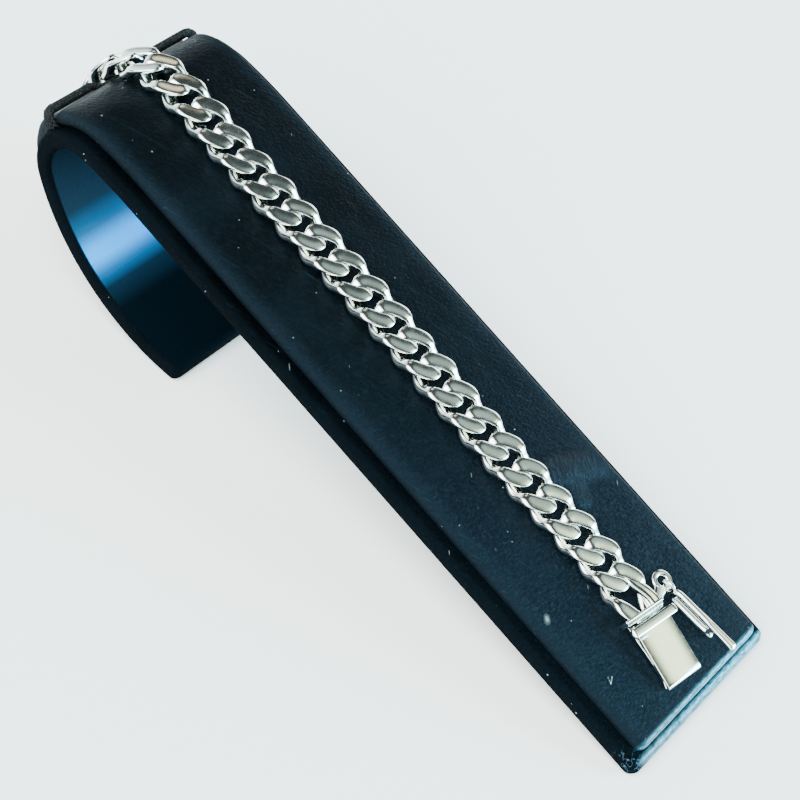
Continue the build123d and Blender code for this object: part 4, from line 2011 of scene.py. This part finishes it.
@dataclass
class SafetyCatch:
    """Small ring through the lug, long narrow loop and thumb tail."""

    tongue: ClaspTongue
    aim: float = 12.8
    hinge_reach: float = 1.75
    ring_radius: float = 1.3906
    ring_wire: float = 0.9
    wire: float = 1.2
    loop_width: float = 1.35
    loop_depth: float = 1.4
    rise: float = 1.2
    roll: float = 0.14
    loop_length: float = 7.7
    tail_start: float = 2.4
    tail_length: float = 7.3
    bar_start: float = 0.9
    bar_length: float = 3.6
    metal: PolishedSilver = PolishedSilver()

    def seat(self) -> Matrix:
        """The catch's frame: its hinge along Y, its tail towards +X.

        Returns:
            The frame, in millimetres.
        """
        point = Matrix.Translation(self.tongue.lug_point())
        turn = Matrix.Rotation(math.radians(self.aim), 4, "Z")
        return self.tongue.seat() @ point @ turn @ Matrix.Translation((self.hinge_reach, 0, 0))

    def tail_section(self, share: float) -> Section:
        """Flat bar that widens towards a rounded tip.

        Args:
            share: Share of the path.

        Returns:
            The section's points, sideways and up.
        """
        close = math.sqrt(max(0.03, 1 - max(0.0, (share - 0.93) / 0.07) ** 2))
        width = self.loop_width + 0.5 * share
        return oval(width * close, (self.wire - 0.35 * share) * close, 16, 3.4)

    def bar_section(self, share: float) -> Section:
        """Short flat bar with rounded ends."""
        close = math.sqrt(max(0.03, 1 - abs(2 * share - 1) ** 6))
        return oval(self.loop_width * close, self.ring_wire * close, 16, 3.4)

    def build(self) -> None:
        """Builds the catch."""
        radius = self.ring_radius
        side = Vector((0, 1, 0))
        ring = [Vector((radius * cos_of(a), 0, radius * sin_of(a))) for a in range(0, 360, 10)]
        wire = oval(self.ring_wire, self.ring_wire, 14)
        hoop = sweep("catch_ring", ring, wire, self.metal, side, True)
        middle = radius + self.wire / 2 + self.rise + self.loop_length / 2
        end = middle + self.loop_length / 2
        outline = oval(self.loop_length + 2 * self.rise, 2 * self.rise, 96, 6.0)
        path = [Vector((middle + x, self.roll * (z - self.rise), z)) for x, z in outline]
        wire = oval(self.loop_width, self.loop_depth, 16, 2.3)
        loop = sweep("catch_loop", path, wire, self.metal, side, True)
        start = Vector((end - self.tail_start, 0, self.rise))
        tip = Vector((end + self.tail_length, 0, self.rise))
        tail = sweep("catch_tail", straight(start, tip, 20), self.tail_section, self.metal)
        start = Vector((end - self.bar_start, -2 * self.roll * self.rise, 0.1 - self.rise))
        bar_path = straight(start, start + Vector((self.bar_length, 0, 0)), 10)
        bar = sweep("catch_bar", bar_path, self.bar_section, self.metal)
        piece = joined("safety_catch_metal", [hoop, loop, tail, bar], self.seat())
        settle(piece, CATCH, "silver", "safety_catch")


@dataclass
class ClaspBox:
    """Hollow box with its end link and peg, at the hidden end of the chain."""

    chain: CurbChain
    tongue: ClaspTongue
    length: float = 13.8
    wall: float = 0.6
    peg_radius: float = 0.7
    peg_length: float = 1.6
    peg_place: float = 3.0
    metal: PolishedSilver = PolishedSilver()

    def shell(self) -> bpy.types.Object:
        """The box's walls, as one closed skin that turns in at the mouth.

        Returns:
            The piece.
        """
        width, height = self.tongue.cap_width, self.tongue.height
        inner_width, inner_height = width - 2 * self.wall, height - 2 * self.wall
        rows = (
            (0.0, width - 0.3, height - 0.3, 0.35),
            (0.05, width - 0.1, height - 0.1, 0.45),
            (0.2, width, height, 0.5),
            (self.length - 0.15, width, height, 0.5),
            (self.length, width - 0.2, height - 0.2, 0.42),
            (self.length, inner_width + 0.2, inner_height + 0.2, 0.15),
            (self.length - 0.1, inner_width, inner_height, 0.1),
            (self.tongue.cap_thickness, inner_width, inner_height, 0.1),
        )
        skin = Skin()
        for x, wide, tall, radius in rows:
            for y, z in rounded_box(wide / 2, wide / 2, tall, radius, 4):
                skin.add(Vector((x, y, height / 2 + z)))
        return skin.piece("box_shell", len(rows), self.metal)

    def peg(self) -> bpy.types.Object:
        """The peg that the safety catch would snap over.

        Returns:
            The piece.
        """
        side = self.tongue.cap_width / 2 - self.wall / 2
        start = Vector((self.peg_place, side, self.tongue.height / 2))
        path = straight(start, start + Vector((0, self.peg_length, 0)), 4)

        def section(share: float) -> Section:
            """Round wire, a little thinner at its end."""
            size = 2 * self.peg_radius * (1 - 0.15 * share**6)
            return oval(size, size)

        return sweep("box_peg", path, section, self.metal)

    def build(self) -> None:
        """Builds the box as one soldered piece."""
        tongue = self.tongue
        last = self.chain.start + self.chain.link.pitch * self.chain.count
        seat = self.chain.seat(last + tongue.leg_length) @ Matrix.Rotation(math.pi, 4, "Z")
        seat = seat @ Matrix.Translation((0, 0, -tongue.height / 2))
        link = self.chain.end_link("box_end_link", tongue)
        piece = joined("clasp_box_metal", [link, self.shell(), self.peg()], seat)
        settle(piece, ROOT, "silver", "clasp_box")


class Glow(Enum):
    """Soft patches of light in the studio's dome.

    Each one has an azimuth and a height in degrees, the radii of its even core and of its edge,
    a strength and a colour.
    """

    OVERHEAD = (-95.0, 56.0, 20.0, 40.0, 13.0, (0.93, 1.0, 0.96))
    WINDOW = (36.0, 13.0, 13.0, 23.0, 36.0, (0.42, 0.84, 1.0))
    CREAM_WALL = (47.0, 42.0, 6.0, 15.0, 3.4, (0.88, 1.0, 0.64))
    GREY_WALL = (68.0, 53.0, 5.0, 12.5, 0.68, (0.80, 1.0, 0.93))
    FAR_WALL = (96.0, 10.0, 8.0, 24.0, 6.0, (0.92, 1.0, 0.98))
    LAMP = (127.0, 46.0, 3.0, 10.0, 1.8, (1.0, 0.84, 0.58))
    BACK_WALL = (178.0, 18.0, 10.0, 40.0, 3.0, (0.80, 0.92, 1.0))
    SIDE_WALL = (-60.0, 12.0, 10.0, 36.0, 3.6, (0.90, 0.98, 1.0))

    @property
    def heading(self) -> Triple:
        """Direction towards its middle.

        Returns:
            The direction, of length 1.
        """
        azimuth, height = self.value[:2]
        flat = cos_of(height)
        return (flat * cos_of(azimuth), flat * sin_of(azimuth), sin_of(height))

    @property
    def tone(self) -> Colour:
        """Its colour times its strength."""
        strength, colour = self.value[4:]
        return tuple(part * strength for part in colour)

    def share(self, sheet: NodeSheet, heading: Value) -> Value:
        """How much of the patch shows in a direction.

        Args:
            sheet: The dome's sheet.
            heading: The direction.

        Returns:
            The share, from 0 to 1.
        """
        core, edge = self.value[2:4]
        inputs = {0: heading, 1: self.heading}
        facing = sheet.node("ShaderNodeVectorMath", {"operation": "DOT_PRODUCT"}, inputs)["Value"]
        return facing.step(cos_of(edge), cos_of(core))


@dataclass
class Studio:
    """Floor, dome of soft light and camera."""

    camera_place: Triple = (119.33, -221.95, 324.38)
    camera_right: Triple = (0.7355, 0.6495, 0.1929)
    camera_ahead: Triple = (-0.2905, 0.5596, -0.7762)
    lens: float = 85.0
    sensor: float = 36.0
    nearest: float = 0.01
    floor_size: float = 3000.0
    ambient: Colour = (0.03, 0.04, 0.046)

    def floor(self) -> None:
        """A plain pale floor."""
        half = self.floor_size / 2
        sides = ((-half, -half), (half, -half), (half, half), (-half, half))
        corners = [Vector((x, y, 0.0)) for x, y in sides]
        floor = new_piece("floor", corners, [(0, 1, 2, 3)], PalePaper())

    def dome(self) -> None:
        """A dim dome with soft patches of light."""
        world = bpy.data.worlds.new("studio")
        world.use_nodes = True
        world.node_tree.nodes.clear()
        sheet = NodeSheet(world.node_tree)
        heading = sheet.node("ShaderNodeTexCoord")["Generated"]
        first, *others = Glow
        light = sheet.blend(first.share(sheet, heading), self.ambient, first.tone)
        for glow in others:
            patch = sheet.blend(glow.share(sheet, heading), (0.0, 0.0, 0.0), glow.tone)
            light = sheet.added(light, patch)
        back = sheet.node("ShaderNodeBackground", None, {"Color": light, "Strength": 1.0})
        sheet.node("ShaderNodeOutputWorld", None, {"Surface": back[0]})
        bpy.context.scene.world = world

    def camera(self) -> None:
        """The camera at the photographed angle."""
        data = bpy.data.cameras.new("camera")
        data.sensor_width = self.sensor
        data.lens = self.lens
        data.clip_start = self.nearest
        back = -Vector(self.camera_ahead).normalized()
        up = back.cross(Vector(self.camera_right)).normalized()
        turn = Matrix((up.cross(back), up, back)).transposed().to_4x4()
        camera = new_object("camera", data)
        camera.matrix_world = Matrix.Translation(Vector(self.camera_place) * MM) @ turn
        bpy.context.scene.camera = camera

    def build(self) -> None:
        """Sets up the studio."""
        self.floor()
        self.dome()
        self.camera()


def main() -> None:
    """Builds all pieces in order."""
    logging.basicConfig(level=logging.INFO, format="%(message)s")
    DisplayStand().build()
    chain = CurbChain()
    chain.build()
    tongue = ClaspTongue(chain)
    tongue.build()
    SafetyCatch(tongue).build()
    ClaspBox(chain, tongue).build()
    Studio().build()


if __name__ == "__main__":
    main()
